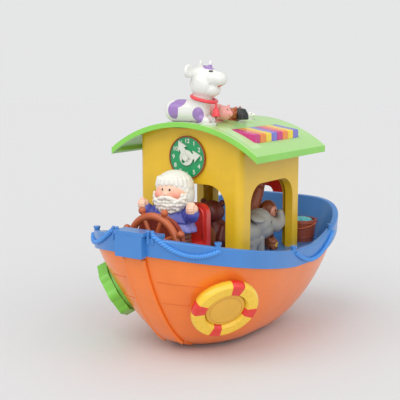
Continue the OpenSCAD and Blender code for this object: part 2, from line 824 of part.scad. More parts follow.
module pig() {
    color([0.95, 0.62, 0.60]) translate([0, animal_y(1), ridge_z]) {
        button_base(pig_plug);
        limb([-12, 0, 6.5], 11, [14, 0, 7], 11);
        egg([24, 0, 9.5], [9, 9, 8]);
        egg([33, 0, 8], [3.2, 4.5, 3.8]);
        for (side = [-1, 1]) {
            egg([22, side * 6, 16.5], [2, 3.4, 4], [side * -20, 0, 0]);
            limb([14, side * 4.5, 2], 4, [18, side * 4.5, 0], 3.4);
        }
    }
}

module horse() {
    color(brown) translate([0, animal_y(2), ridge_z]) {
        button_base(horse_plug);
        limb([-14, 0, 3.5], 9.6, [12, 0, 3.5], 9.6);
        egg([28, 0, 7], [9.5, 8, 6.3]);
        egg([18, 0, 5], [7.5, 7.5, 7.5]);
        for (side = [-1, 1]) {
            egg([25, side * 4.5, 12], [2, 2.4, 4]);
            limb([14, side * 4.5, 0], 3.6, [18, side * 4.5, -1], 3.2);
        }
    }
}

module lamb() {
    color(cream) translate([0, animal_y(3), ridge_z]) {
        button_base(lamb_plug);
        limb([0.5, 0, -1], 7.7, [18, 0, -1.5], 7.8);
        egg([23, 0, 3], [5.5, 5.5, 4.5]);
        egg([27.5, 0, 3.6], [3.2, 3.4, 2.6]);
        egg([17, 0, 3], [5, 5, 4]);
        for (side = [-1, 1]) {
            egg([21, side * 5.5, 3], [2, 3, 1.6]);
            limb([17, side * 3.5, -2], 3, [20, side * 3.5, -2.5], 2.8);
        }
    }
}

// Clock

// Places a child on the clock's middle, turned so that +z points out of the front wall
module on_clock(proud) {
    translate([0, cabin_front - proud, clock_z]) rotate([90, 0, 0]) children();
}

module clock_dial() {
    color([0.10, 0.55, 0.35]) on_clock(0) {
        cylinder(r = clock_d / 2 - clock_rim_w - 0.1, h = clock_t);
        translate([0, 0, -cabin_wall]) cylinder(r = spindle_r, h = cabin_wall + clock_t + hands_t + 1);
    }
}

module clock_rim() {
    color(brown) on_clock(0) difference() {
        cylinder(r = clock_d / 2, h = clock_t + 1);
        translate([0, 0, -eps]) cylinder(r = clock_d / 2 - clock_rim_w, h = clock_t + 1 + 2 * eps);
    }
}

module clock_cap() {
    color(cream) on_clock(clock_t + hands_t + 1) cylinder(r = spindle_r + 1.5, h = 1.2);
}

// Both hands in one piece; hand_at is degrees clockwise from twelve
module clock_hand(hand_at, l) {
    rotate([0, 0, -hand_at]) linear_extrude(hands_t)
        polygon([[-3, 0], [-3.4, l * 0.55], [-7, l * 0.5], [0, l], [7, l * 0.5], [3.4, l * 0.55], [3, 0]]);
}

module clock_hands() {
    finger_r = 2.4;
    color(cream) on_clock(clock_t + 0.4) difference() {
        union() {
            cylinder(r = hands_hub_r, h = hands_t);
            clock_hand(-29, clock_d / 2 - clock_rim_w - 1.6);
            clock_hand(79, clock_d / 2 - clock_rim_w - 3.6);
        }
        translate([0, 0, -eps]) cylinder(r = spindle_r + run_gap, h = hands_t + 2 * eps);
        translate([-4.2, -4.4, -eps]) cylinder(r = finger_r, h = hands_t + 2 * eps);
    }
}

// Helm

module steering_post() {
    console_r = helm_r - helm_tube_r;
    back = helm_y + helm_tube_r + 6;
    t = 6;
    color(brown) {
        block([-console_r, back, deck_z], [console_r, back + t, helm_z]);
        intersection() {
            translate([0, back + t, helm_z]) rotate([90, 0, 0]) cylinder(r = console_r, h = t);
            block([-console_r, back, helm_z - eps], [console_r, back + t, helm_z + console_r]);
        }
        translate([0, back + eps, helm_z]) rotate([90, 0, 0])
            cylinder(r = helm_pin_r, h = back + eps - (helm_y - helm_tube_r) + 1);
    }
}

module steering_cap() {
    color(brown) translate([0, helm_y - helm_tube_r - 1, helm_z]) rotate([90, 0, 0])
        cylinder(r = helm_pin_r + 2.5, h = 2.5);
}

module steering_wheel() {
    spokes = 8;
    hub_r = 9;
    spoke_r = 2.6;
    knob_r = 4.2;
    color(brown) translate([0, helm_y, helm_z]) rotate([-90, 0, 0]) difference() {
        union() {
            rotate_extrude($fn = 96) translate([helm_r - helm_tube_r, 0]) circle(helm_tube_r, $fn = 32);
            translate([0, 0, -helm_tube_r]) cylinder(r = hub_r, h = 2 * helm_tube_r + 4);
            for (i = [0:spokes - 1]) rotate([90, 0, (i + 0.5) * 360 / spokes]) translate([0, 0, hub_r - 2]) {
                cylinder(r = spoke_r, h = helm_reach - hub_r - 2, $fn = 24);
                translate([0, 0, helm_reach - knob_r - hub_r + 2]) sphere(knob_r, $fn = 32);
            }
        }
        translate([0, 0, -20]) cylinder(r = helm_pin_r + run_gap, h = 40);
    }
}

// Chair and captain

module chair() {
    half = chair_w / 2;
    corner = 12;
    border = 5;
    back_y = chair_y - chair_back_t / 2;
    seat_w = chair_w - 14;
    color(red) {
        difference() {
            union() {
                block([-half, back_y, deck_z],
                    [half, back_y + chair_back_t, deck_z + chair_back_h - corner]);
                block([-half + corner, back_y, deck_z],
                    [half - corner, back_y + chair_back_t, deck_z + chair_back_h]);
                for (x = [-1, 1])
                    translate([x * (half - corner), back_y, deck_z + chair_back_h - corner])
                        rotate([-90, 0, 0]) cylinder(r = corner, h = chair_back_t);
            }
            block([-half + border, back_y + chair_back_t - 2, deck_z + seat_h],
                [half - border, back_y + chair_back_t + eps, deck_z + chair_back_h - corner]);
        }
        block([-seat_w / 2, back_y - seat_l, deck_z], [seat_w / 2, back_y + eps, deck_z + seat_h]);
    }
}

module captain_body() {
    hem = 14;
    color([0.33, 0.35, 0.70]) translate([0, captain_y, captain_z]) {
        hull() {
            scale([1, 0.8, 1]) cylinder(r = 22, h = hem, $fn = 32);
        }
        hull() {
            translate([0, 0, hem]) scale([1, 0.72, 1]) cylinder(r = 29, h = 3, $fn = 32);
            translate([0, 0, 32]) scale([1, 0.8, 1]) cylinder(r = 18, h = 4, $fn = 32);
        }
        egg([0, 0, 34], [21, 16, 8]);
        for (side = [-1, 1]) {
            limb([side * 17, -1, 33], 8, [side * 27, -5, 33], 8);
            limb([side * 27, -5, 33], 8, [side * 31, -9, 36], 7.5);
            egg([side * 34, -12, 42], [8.5, 8, 8.5]);
        }
    }
}

module captain_head() {
    color(cream) translate([0, captain_y, captain_z]) {
        egg([0, -1, 60], [21, 20, 21]);
        egg([0, 2, 65], [24, 22, 19]);
        egg([0, -9, 46], [19, 13, 14]);
        egg([0, -21, 57], [4.5, 4, 4]);
        for (side = [-1, 1]) {
            egg([side * 12, -15, 57], [6, 5, 5]);
            egg([side * 7, -20, 52], [7, 4, 4]);
            egg([side * 20, 0, 52], [5, 8, 12]);
        }
    }
}

// Animals in the cabin, standing on the deck

// Four legs with flat feet
module legs(w, l, h, r) {
    for (x = [-1, 1], y = [-1, 1]) hull() {
        translate([x * w, y * l, 0]) cylinder(r = r, h = h, $fn = 16);
    }
}

module elephant() {
    color([0.55, 0.56, 0.57]) translate([cabin_w / 2 - 32, cabin_y, deck_z]) {
        legs(9.5, 10, 16, 7);
        egg([0, -6, 21], [17, 21, 16]);
        egg([2, 16, 32], [17, 21, 19]);
        limb([8, 34, 28], 9, [13, 48, 26], 7);
        limb([13, 48, 26], 7, [14, 54, 36], 5.5);
        egg([7, 34, 19], [7, 8, 4]);
        for (side = [-1, 1]) egg([2 + side * 14, -6, 38], [4, 11, 11], [0, 0, side * -15]);
    }
}

module giraffe() {
    color([0.62, 0.34, 0.20]) translate([4, cabin_y + 34, deck_z]) {
        legs(7, 10, 20, 5);
        egg([0, 0, 27], [12, 19, 13]);
        limb([8, 2, 32], 9.5, [16, 8, 58], 8.8);
        limb([16, 8, 58], 8.8, [19, 15, 76], 7.5);
        limb([19, 15, 76], 7, [25, 8, 77], 5);
        egg([18, 17, 82], [3, 3, 4]);
    }
}

module monkey() {
    color(brown) translate([33, cabin_y + 50, deck_z]) {
        legs(6, 6.2, 10, 4.6);
        egg([0, 0, 20], [10.5, 11, 16]);
        egg([0, 2, 45], [11.5, 11.4, 12]);
        egg([7.6, 1.5, 42.5], [5.5, 7.2, 7.8], [0, 0, 8]);
        egg([1, -10, 47], [2.5, 3.6, 4.6]);
        egg([1, 13.4, 47], [2.5, 3.6, 4.6]);
        limb([3, -8.5, 26], 3.4, [3, -9, 16], 3);
    }
}

module bear() {
    color([0.38, 0.16, 0.12]) translate([14, cabin_y - 40, deck_z]) {
        legs(10, 8.5, 11, 6.6);
        egg([0, 0, 26], [21, 17, 22]);
        egg([0, -4, 53], [16, 15, 14]);
        egg([0, -17, 50], [7, 6, 6]);
        for (side = [-1, 1]) {
            egg([side * 13, -2, 64], [4.5, 3, 4.5]);
            limb([side * 17, -5, 34], 6, [side * 18, -12, 22], 5.5);
        }
    }
}

module cub() {
    color([0.60, 0.33, 0.16]) translate([cabin_w / 2 - 15, cabin_y + 28, deck_z]) {
        legs(3.6, 3.4, 3, 2.6);
        egg([0, 0, 4.5], [7, 7, 4]);
        egg([0, 0, 9], [7, 7, 5]);
        egg([-1, -5, 12.4], [2, 2.2, 2.2]);
        egg([-1, 5, 12.4], [2, 2.2, 2.2]);
        egg([5, 0, 8], [3, 3.6, 2.6]);
    }
}

// Bucket at the stern

module bucket() {
    taper = (bucket_r[1] - bucket_r[0]) / bucket_h;
    color(brown) translate(bucket_p) difference() {
        union() {
            cylinder(r1 = bucket_r[0], r2 = bucket_r[1], h = bucket_h);
            translate([0, 0, bucket_h - 4]) cylinder(r = bucket_r[1] + 1, h = 4);
        }
        translate([0, 0, bucket_wall]) cylinder(r1 = bucket_r[0] - bucket_wall + taper * bucket_wall,
            r2 = bucket_r[1] - bucket_wall + taper * eps, h = bucket_h - bucket_wall + eps);
    }
}

module bucket_fill() {
    r = bucket_r[0] - bucket_wall - 0.2;
    color([0.20, 0.72, 0.75]) translate(bucket_p + [0, 0, bucket_wall])
        cylinder(r = r, h = bucket_h - bucket_wall - 1);
}

// Life ring and spinner

// Places a child on the bow: z points out of the hull; side is 1 for port and -1 for starboard
module on_bow(side) {
    translate([side * ring_c.x, ring_c.y, ring_c.z])
        rotate([0, 90 + ring_tilt, side > 0 ? ring_az : 180 - ring_az]) children();
}

module life_ring() {
    color(yellow) on_bow(1) {
        rotate_extrude($fn = 96) translate([ring_big_r, 0]) intersection() {
            circle(ring_tube_r, $fn = 48);
            translate([-ring_tube_r, -ring_tube_r + 2])
                square([2 * ring_tube_r, ring_tube_r + ring_squash - 2]);
        }
        translate([0, 0, -ring_tube_r + 2]) cylinder(r = ring_big_r, h = ring_back_t);
        translate([0, 0, -ring_root]) difference() {
            cylinder(r = ring_root_r, h = ring_root - ring_tube_r + 2 + ring_back_t);
            translate([0, 0, -eps]) cylinder(r = ring_root_r - 6, h = ring_root - ring_tube_r + 2 + eps);
        }
    }
}

module ring_button() {
    back = -ring_tube_r + 2 + ring_back_t + ring_travel + seat_gap;
    color(yellow) on_bow(1) translate([0, 0, back]) {
        cylinder(r = ring_button_r, h = 3);
        translate([0, 0, 3]) cylinder(r1 = ring_button_r, r2 = ring_button_r - 2, h = 1);
    }
}

module spinner_pin() {
    foot = -14;
    head_z = spinner_z + spinner_t + seat_gap;
    color(green) on_bow(-1) {
        translate([0, 0, foot]) cylinder(r = spinner_r - 2, h = spinner_z - seat_gap - foot);
        translate([0, 0, spinner_z - 2]) cylinder(r = spinner_pin_r, h = head_z - spinner_z + 2 + eps);
        translate([0, 0, head_z]) cylinder(r = spinner_pin_r + 3, h = 3);
    }
}

// Reach of the spinner's scalloped edge at an angle
function spinner_edge(t) =
    let (pitch = 360 / spinner_lobes, d = (t + pitch / 2) % pitch - pitch / 2)
    let (along = spinner_lobe_c * cos(d), side = spinner_lobe_c * sin(d))
    abs(side) < spinner_lobe_r ? max(spinner_r, along + sqrt(pow(spinner_lobe_r, 2) - side * side)) : spinner_r;

module spinner() {
    edge = [for (i = [0:spinner_steps - 1])
        let (t = 360 * i / spinner_steps) spinner_edge(t) * [cos(t), sin(t)]];
    color(green) on_bow(-1) translate([0, 0, spinner_z]) difference() {
        linear_extrude(spinner_t) polygon(edge);
        translate([0, 0, -eps]) cylinder(r = spinner_pin_r + run_gap, h = spinner_t + 2 * eps);
    }
}

hull_shell();
base_plate();
gunwale();
deck();
bow_block();
rope_swags();
rail_posts();
cabin_walls();
roof();
ceiling_plate();
rear_pelmet();
key_tray();
key_rod();
key_domes();
circuit_board();
animal_domes();
speaker();
battery_box();
cells();
battery_contacts();
battery_door();
battery_screw();
base_screws();
clock_dial();
clock_rim();
clock_cap();
clock_hands();
steering_post();
steering_cap();
steering_wheel();
chair();
captain_body();
captain_head();
elephant();
giraffe();
monkey();
bear();
cub();
bucket();
bucket_fill();
life_ring();
ring_button();
spinner_pin();
spinner();
axle(axle_ys[0]);  // front_axle
wheels(axle_ys[0]);  // front_wheels
axle(axle_ys[1]);  // rear_axle
wheels(axle_ys[1]);  // rear_wheels
piano_key(1);  // key_1
piano_key(2);  // key_2
piano_key(3);  // key_3
piano_key(4);  // key_4
piano_key(5);  // key_5
piano_key(6);  // key_6
piano_key(7);  // key_7
piano_key(8);  // key_8
cow();
pig();
horse();
lamb();
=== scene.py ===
import math
import random

import bmesh
import bpy
import numpy as np
from mathutils import Matrix, Vector


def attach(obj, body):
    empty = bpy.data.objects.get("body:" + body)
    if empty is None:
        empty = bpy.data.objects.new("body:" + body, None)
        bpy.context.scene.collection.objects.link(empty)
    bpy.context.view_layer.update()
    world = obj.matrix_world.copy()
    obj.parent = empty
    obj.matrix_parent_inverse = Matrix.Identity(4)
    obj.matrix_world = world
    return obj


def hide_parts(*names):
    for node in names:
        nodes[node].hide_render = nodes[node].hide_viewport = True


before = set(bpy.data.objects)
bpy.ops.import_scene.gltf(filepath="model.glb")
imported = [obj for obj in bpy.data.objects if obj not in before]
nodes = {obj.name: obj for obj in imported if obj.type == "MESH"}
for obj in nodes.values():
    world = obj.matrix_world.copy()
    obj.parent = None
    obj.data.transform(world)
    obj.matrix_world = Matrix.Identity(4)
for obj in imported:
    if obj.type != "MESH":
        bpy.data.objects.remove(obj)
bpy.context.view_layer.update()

scene = bpy.context.scene
MM = 0.001
chance = random.Random(7)

# Places shared with the construction, in millimetres
DECK_Z = 104
RIDGE_Z = 264
ROOF_R = 166
ROOF_CZ = 98
COW = Vector((0, -54, RIDGE_Z))
PIG = Vector((0, -22, RIDGE_Z))
HORSE = Vector((0, 10, RIDGE_Z))
LAMB = Vector((0, 42, RIDGE_Z))
CAPTAIN = Vector((0, -87, 128.3))
CLOCK = Vector((0, -58.5, 222.7))
RING = Vector((76.2, -99.2, 65.5))
BUCKET = Vector((60, 113, DECK_Z))


# Shades and materials

DRIFT_SCALE = 35
GLOSS_SCALE = 140
GRAIN_SCALE = 900
GRAIN_DEPTH = 0.0004
COAT_ROUGHNESS = 0.12


def linear(shade):
    """A screen shade as the shader sockets want it."""
    return tuple(c / 12.92 if c <= 0.04045 else ((c + 0.055) / 1.055) ** 2.4 for c in shade) + (1,)


def lighter(shade, factor):
    return tuple(min(1, c * factor) for c in shade)


def noise(tree, coords, scale, detail=2):
    node = tree.nodes.new("ShaderNodeTexNoise")
    node.inputs["Scale"].default_value = scale
    node.inputs["Detail"].default_value = detail
    tree.links.new(coords, node.inputs["Vector"])
    return node.outputs["Fac"]


def spread(tree, value, low, high, start=0, end=1):
    """Maps a value to a range."""
    node = tree.nodes.new("ShaderNodeMapRange")
    node.inputs["From Min"].default_value = start
    node.inputs["From Max"].default_value = end
    node.inputs["To Min"].default_value = low
    node.inputs["To Max"].default_value = high
    tree.links.new(value, node.inputs["Value"])
    return node.outputs["Result"]


def mixed(tree, factor, first, second):
    """Mixes two colours; each is a socket or a plain linear colour."""
    node = tree.nodes.new("ShaderNodeMix")
    node.data_type = "RGBA"
    tree.links.new(factor, node.inputs[0])
    for socket, value in ((node.inputs[6], first), (node.inputs[7], second)):
        if isinstance(value, tuple):
            socket.default_value = value
        else:
            tree.links.new(value, socket)
    return node.outputs[2]


def egg_mask(tree, coords, centre, radii, edge=0.06):
    """1 inside an egg given in millimetres, 0 outside, with a narrow soft edge."""
    shift = tree.nodes.new("ShaderNodeVectorMath")
    shift.operation = "SUBTRACT"
    shift.inputs[1].default_value = Vector(centre) * MM
    tree.links.new(coords, shift.inputs[0])
    scale = tree.nodes.new("ShaderNodeVectorMath")
    scale.operation = "DIVIDE"
    scale.inputs[1].default_value = Vector(radii) * MM
    tree.links.new(shift.outputs[0], scale.inputs[0])
    size = tree.nodes.new("ShaderNodeVectorMath")
    size.operation = "LENGTH"
    tree.links.new(scale.outputs[0], size.inputs[0])
    return spread(tree, size.outputs["Value"], 1, 0, 1 - edge, 1 + edge)


def plastic(name, shade, rough=0.3, drift=0.05, grain=0.05, patches=(), top=None, sheen=0.35, edge=0.06):
    """Moulded plastic: slow colour drift, uneven gloss, fine skin texture and painted patches; with top
    given, a painted highlight makes upward faces paler.
    """
    mat = bpy.data.materials.new(name)
    mat.use_nodes = True
    tree = mat.node_tree
    shader = tree.nodes["Principled BSDF"]
    coords = tree.nodes.new("ShaderNodeTexCoord").outputs["Object"]
    dull, bright = linear(lighter(shade, 1 - drift)), linear(lighter(shade, 1 + drift))
    colour = mixed(tree, noise(tree, coords, DRIFT_SCALE, 3), dull, bright)
    # Painted light: faces turned upwards are mixed towards the top colour, a painted highlight as if lit from
    # above.
    if top:
        normal = tree.nodes.new("ShaderNodeSeparateXYZ")
        tree.links.new(tree.nodes.new("ShaderNodeNewGeometry").outputs["Normal"], normal.inputs[0])
        colour = mixed(tree, spread(tree, normal.outputs["Z"], 0, 1, 0.55, 0.9), colour, linear(top))
    for patch_shade, eggs in patches:
        for centre, radii in eggs:
            colour = mixed(tree, egg_mask(tree, coords, centre, radii, edge), colour, linear(patch_shade))
    tree.links.new(colour, shader.inputs["Base Color"])
    gloss = spread(tree, noise(tree, coords, GLOSS_SCALE, 3), rough - 0.06, rough + 0.1)
    tree.links.new(gloss, shader.inputs["Roughness"])
    bump = tree.nodes.new("ShaderNodeBump")
    bump.inputs["Strength"].default_value = grain
    bump.inputs["Distance"].default_value = GRAIN_DEPTH
    tree.links.new(noise(tree, coords, GRAIN_SCALE, 2), bump.inputs["Height"])
    tree.links.new(bump.outputs["Normal"], shader.inputs["Normal"])
    shader.inputs["Coat Weight"].default_value = sheen
    shader.inputs["Coat Roughness"].default_value = COAT_ROUGHNESS
    return mat


def metal(name, shade, rough=0.3):
    mat = plastic(name, shade, rough, 0.08, 0.1, sheen=0)
    mat.node_tree.nodes["Principled BSDF"].inputs["Metallic"].default_value = 1
    return mat


ORANGE = (0.98, 0.50, 0.17)
BLUE = (0.25, 0.51, 0.79)
YELLOW = (0.92, 0.74, 0.12)
GREEN = (0.54, 0.83, 0.33)
# Painted highlight colour for the upward faces of the roof.
LIT_TOP_GREEN = (0.69, 0.87, 0.55)
RED = (0.90, 0.17, 0.12)
WHITE = (0.91, 0.91, 0.89)
PURPLE = (0.62, 0.48, 0.74)
PINK = (0.96, 0.66, 0.63)
SKIN = (0.98, 0.79, 0.68)
BLACK = (0.06, 0.06, 0.07)
DARK = (0.20, 0.20, 0.22)
GREY = (0.63, 0.62, 0.60)

hull_orange = plastic("hull orange", ORANGE, 0.30)
ship_blue = plastic("ship blue", BLUE, 0.30)
rope_blue = plastic("rope blue", (0.27, 0.57, 0.88), 0.35)
cabin_yellow = plastic("cabin yellow", YELLOW, 0.34)
ring_yellow = plastic("ring yellow", (0.99, 0.80, 0.22), 0.26)
disc_gold = plastic("disc gold", (0.91, 0.70, 0.22), 0.35)
# Painted highlight: the roof's upward faces are paler green, as if lit from above.
roof_green = plastic("roof green", GREEN, 0.30, top=LIT_TOP_GREEN)
panel_green = plastic("panel green", (0.74, 0.90, 0.64), 0.38)
disc_green = plastic("disc green", (0.46, 0.79, 0.24), 0.3)
glossy_red = plastic("glossy red", RED, 0.22, sheen=0.6)
# Painted light: a lighter copy of the glossy red for the chair, brightened to make up for the shade it sits
# in.
chair_red_lit = plastic("chair red lit", (0.98, 0.25, 0.19), 0.22, sheen=0.6)
bell_red = plastic("bell red", (0.93, 0.24, 0.28), 0.22, sheen=0.6)
wood_brown = plastic("wood brown", (0.74, 0.36, 0.18), 0.32, drift=0.12)
console_brown = plastic("console brown", (0.64, 0.27, 0.17), 0.4, drift=0.1)
bucket_brown = plastic("bucket brown", (0.60, 0.28, 0.18), 0.38, drift=0.1)
teal = plastic("teal", (0.27, 0.70, 0.73), 0.35)
dial_green = plastic("dial green", (0.06, 0.60, 0.36), 0.3)
rim_brown = plastic("rim brown", (0.60, 0.27, 0.14), 0.3)
hand_cream = plastic("hand cream", (0.86, 0.87, 0.82), 0.34)
dark_plastic = plastic("dark plastic", DARK, 0.5)
soft_black = plastic("soft black", BLACK, 0.25)
eye_black = plastic("eye black", (0.05, 0.03, 0.03), 0.12, sheen=1)
dome_rubber = plastic("dome rubber", (0.22, 0.22, 0.23), 0.7, sheen=0)
board_green = plastic("board green", (0.10, 0.36, 0.16), 0.4)
cell_wrap = plastic("cell wrap", (0.75, 0.76, 0.78), 0.3)
# Painted shade: a darker orange standing for the shade inside the hull's plank grooves.
groove_shade_orange = plastic("groove shade orange", (0.88, 0.42, 0.14), 0.45)
# Painted shade: a darker blue standing for the shade inside the deck seams.
groove_shade_blue = plastic("groove shade blue", (0.14, 0.36, 0.64), 0.45)
steel = metal("steel", (0.75, 0.76, 0.78))
brass = metal("brass", (0.83, 0.68, 0.30))
key_shades = [(0.80, 0.17, 0.50), (0.97, 0.55, 0.20), (0.98, 0.84, 0.22), (0.47, 0.46, 0.82)]
key_plastics = [plastic(f"key {i + 1}", shade, 0.26) for i, shade in enumerate(key_shades)]


# Geometry helpers

def turns(count):
    """Evenly spaced angles round a full turn."""
    return [2 * math.pi * k / count for k in range(count)]


def finish_mesh(name, bm, mat, body, smooth=True):
    """Turns a bmesh in millimetres into a shaded object that rides a body."""
    bmesh.ops.scale(bm, vec=(MM, MM, MM), verts=bm.verts)
    bmesh.ops.recalc_face_normals(bm, faces=bm.faces)
    mesh = bpy.data.meshes.new(name)
    bm.to_mesh(mesh)
    bm.free()
    for poly in mesh.polygons:
        poly.use_smooth = smooth
    mesh.materials.append(mat)
    obj = bpy.data.objects.new(name, mesh)
    scene.collection.objects.link(obj)
    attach(obj, body)
    return obj


def settle(obj):
    """Makes an object's modifiers final."""
    graph = bpy.context.evaluated_depsgraph_get()
    mesh = bpy.data.meshes.new_from_object(obj.evaluated_get(graph))
    obj.modifiers.clear()
    obj.data = mesh
    for poly in mesh.polygons:
        poly.use_smooth = True
    return obj


def egg(p, size, turn=(0, 0, 0)):
    """A rounded lump: place, half sizes and turn in degrees."""
    size = (size, size, size) if isinstance(size, (int, float)) else size
    spin = Matrix.Rotation(math.radians(turn[2]), 4, "Z") @ Matrix.Rotation(math.radians(turn[1]), 4, "Y")
    spin = spin @ Matrix.Rotation(math.radians(turn[0]), 4, "X")
    return [Matrix.Translation(Vector(p)) @ spin @ Matrix.Diagonal((*size, 1))]


def limb(a, ra, b, rb):
    """A tapering limb, as a close row of lumps."""
    a, b = Vector(a), Vector(b)
    count = max(2, math.ceil((b - a).length / (0.22 * min(ra, rb))))
    return [egg(a.lerp(b, i / count), ra + (rb - ra) * i / count)[0] for i in range(count + 1)]


def chain(points):
    """A limb through several places; each point is (place, radius)."""
    return [m for (a, ra), (b, rb) in zip(points, points[1:]) for m in limb(a, ra, b, rb)]


def unit_ball(detail):
    """Vertices and triangles of a small ball."""
    bm = bmesh.new()
    bmesh.ops.create_icosphere(bm, subdivisions=detail, radius=1)
    verts = np.array([v.co for v in bm.verts])
    tris = np.array([[v.index for v in f.verts] for f in bm.faces])
    bm.free()
    return verts, tris


BALL = unit_ball(3)


def lumps(name, shapes, origin, mat, body):
    """Many lumps in one smooth mesh."""
    verts, tris = BALL
    frames = np.array([list(map(list, shape)) for shape in shapes])
    points = np.einsum("nij,vj->nvi", frames[:, :3, :3], verts) + frames[:, None, :3, 3] + np.array(origin)
    faces = tris[None] + len(verts) * np.arange(len(shapes))[:, None, None]
    mesh = bpy.data.meshes.new(name)
    mesh.from_pydata(points.reshape(-1, 3) * MM, [], faces.reshape(-1, 3).tolist())
    mesh.polygons.foreach_set("use_smooth", [True] * len(mesh.polygons))
    mesh.materials.append(mat)
    obj = bpy.data.objects.new(name, mesh)
    scene.collection.objects.link(obj)
    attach(obj, body)
    return obj


def moulded(name, shapes, origin, mat, body, voxel=0.7, soft=6, node=None):
    """A figure's skin: lumps joined into one smooth mesh."""
    obj = lumps(name, shapes, origin, mat, body)
    skin = obj.modifiers.new("skin", "REMESH")
    skin.mode = "VOXEL"
    skin.voxel_size = voxel * MM
    relax = obj.modifiers.new("relax", "SMOOTH")
    relax.factor = 0.5
    relax.iterations = soft
    settle(obj)
    if node:
        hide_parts(node)
    return obj


def sweep(bm, points, radius, sides=10, closed=False):
    """A round bar along points; radius is one number or one per point."""
    count = len(points)
    radii = [radius] * count if isinstance(radius, (int, float)) else radius
    if closed:
        beside = [(points[i - 1], points[(i + 1) % count]) for i in range(count)]
    else:
        beside = [(points[max(i - 1, 0)], points[min(i + 1, count - 1)]) for i in range(count)]
    tangents = [(after - before).normalized() for before, after in beside]
    side = tangents[0].orthogonal().normalized()
    rings = []
    for point, tangent, r in zip(points, tangents, radii):
        side = (side - tangent * side.dot(tangent)).normalized()
        other = tangent.cross(side)
        ring = [point + r * (math.cos(t) * side + math.sin(t) * other) for t in turns(sides)]
        rings.append([bm.verts.new(p) for p in ring])
    for i in range(count if closed else count - 1):
        here, there = rings[i], rings[(i + 1) % count]
        for k in range(sides):
            bm.faces.new((here[k], here[(k + 1) % sides], there[(k + 1) % sides], there[k]))
    if not closed:
        bm.faces.new(rings[0])
        bm.faces.new(rings[-1])


def bar(name, points, radius, mat, body, sides=10, closed=False):
    bm = bmesh.new()
    sweep(bm, [Vector(p) for p in points], radius, sides, closed)
    return finish_mesh(name, bm, mat, body)


def revolve(bm, profile, steps, wave=None):
    """A turned skin round Z; wave(angle, height) scales the radius."""
    rings = []
    for r, z in profile:
        ring = []
        for t in turns(steps):
            f = wave(t, z) if wave else 1
            ring.append(bm.verts.new((r * f * math.cos(t), r * f * math.sin(t), z)))
        rings.append(ring)
    for here, there in zip(rings, rings[1:]):
        for k in range(steps):
            bm.faces.new((here[k], here[(k + 1) % steps], there[(k + 1) % steps], there[k]))
    bm.faces.new(rings[0])
    bm.faces.new(rings[-1])


def skin_arrays(obj):
    """Vertex places in millimetres and vertex normals of a skin."""
    verts = obj.data.vertices
    places = np.empty(3 * len(verts))
    normals = np.empty(3 * len(verts))
    verts.foreach_get("co", places)
    verts.foreach_get("normal", normals)
    return places.reshape(-1, 3) / MM, normals.reshape(-1, 3)


def press_in(obj, path, width, depth):
    """Presses a groove or dent into a skin along a path."""
    places, normals = skin_arrays(obj)
    near = np.full(len(places), np.inf)
    for a, b in zip(path, path[1:]):
        a, run = np.array(a), np.array(b) - np.array(a)
        share = np.clip((places - a) @ run / max(run @ run, 1e-9), 0, 1)
        near = np.minimum(near, np.linalg.norm(places - a - share[:, None] * run, axis=1))
    dip = depth * np.clip(1 - (near / width) ** 2, 0, 1) ** 2
    obj.data.vertices.foreach_set("co", ((places - normals * dip[:, None]) * MM).ravel())
    obj.data.update()


def skin_point(obj, p):
    """The skin's nearest point to a place, and the way out of the skin there."""
    places, normals = skin_arrays(obj)
    nearest = np.linalg.norm(places - np.array(p), axis=1).argmin()
    return Vector(places[nearest]), Vector(normals[nearest])


def facing(normal):
    return Vector(normal).to_track_quat("Z", "Y").to_matrix().to_4x4()


def button_eye(name, obj, p, size, body, mat=eye_black, sink=0.3):
    """A small glossy eye set into a skin."""
    place, normal = skin_point(obj, p)
    bm = bmesh.new()
    shape = Matrix.Translation(place - normal * sink) @ facing(normal) @ Matrix.Diagonal((*size, 1))
    bmesh.ops.create_icosphere(bm, subdivisions=3, radius=1, matrix=shape)
    return finish_mesh(name, bm, mat, body)


PLUG_TOP = -0.6
PLUG_LOW = -4.5
PLUNGER_R = 4
PLUNGER_L = 18.5


def plug(name, origin, ends, r, mat, body):
    """The part of an animal button that slides in the roof, with its plunger."""
    bm = bmesh.new()
    loop = []
    for t in turns(48):
        middle = ends[1] if math.cos(t) >= 0 else ends[0]
        loop.append((middle + r * math.cos(t), r * math.sin(t)))
    upper, lower = ([bm.verts.new(origin + Vector((x, y, z))) for x, y in loop] for z in (PLUG_TOP, PLUG_LOW))
    bm.faces.new(upper)
    bm.faces.new(lower)
    for k in range(len(loop)):
        bm.faces.new((upper[k - 1], upper[k], lower[k], lower[k - 1]))
    plunger = Matrix.Translation(origin + Vector((0, 5, PLUG_LOW - PLUNGER_L / 2)))
    bmesh.ops.create_cone(
        bm, segments=32, radius1=PLUNGER_R, radius2=PLUNGER_R, depth=PLUNGER_L, cap_ends=True, matrix=plunger)
    return finish_mesh(name, bm, mat, body, smooth=False)


PRESS = 2.5
PRESS_GAP = 0.25
PLUG_EDGE = 0.5


def clear_roof(obj, origin, ends, r):
    """Flattens a figure's underside beside its plug, so that it stays above the roof when pressed."""
    places, _ = skin_arrays(obj)
    along = np.clip(places[:, 0], origin.x + ends[0], origin.x + ends[1])
    beside = np.hypot(places[:, 0] - along, places[:, 1] - origin.y) > r - PLUG_EDGE
    low = ROOF_CZ + np.sqrt(ROOF_R ** 2 - places[:, 0] ** 2) + PRESS + PRESS_GAP
    places[:, 2] = np.where(beside, np.maximum(places[:, 2], low), places[:, 2])
    obj.data.vertices.foreach_set("co", (places * MM).ravel())
    obj.data.update()


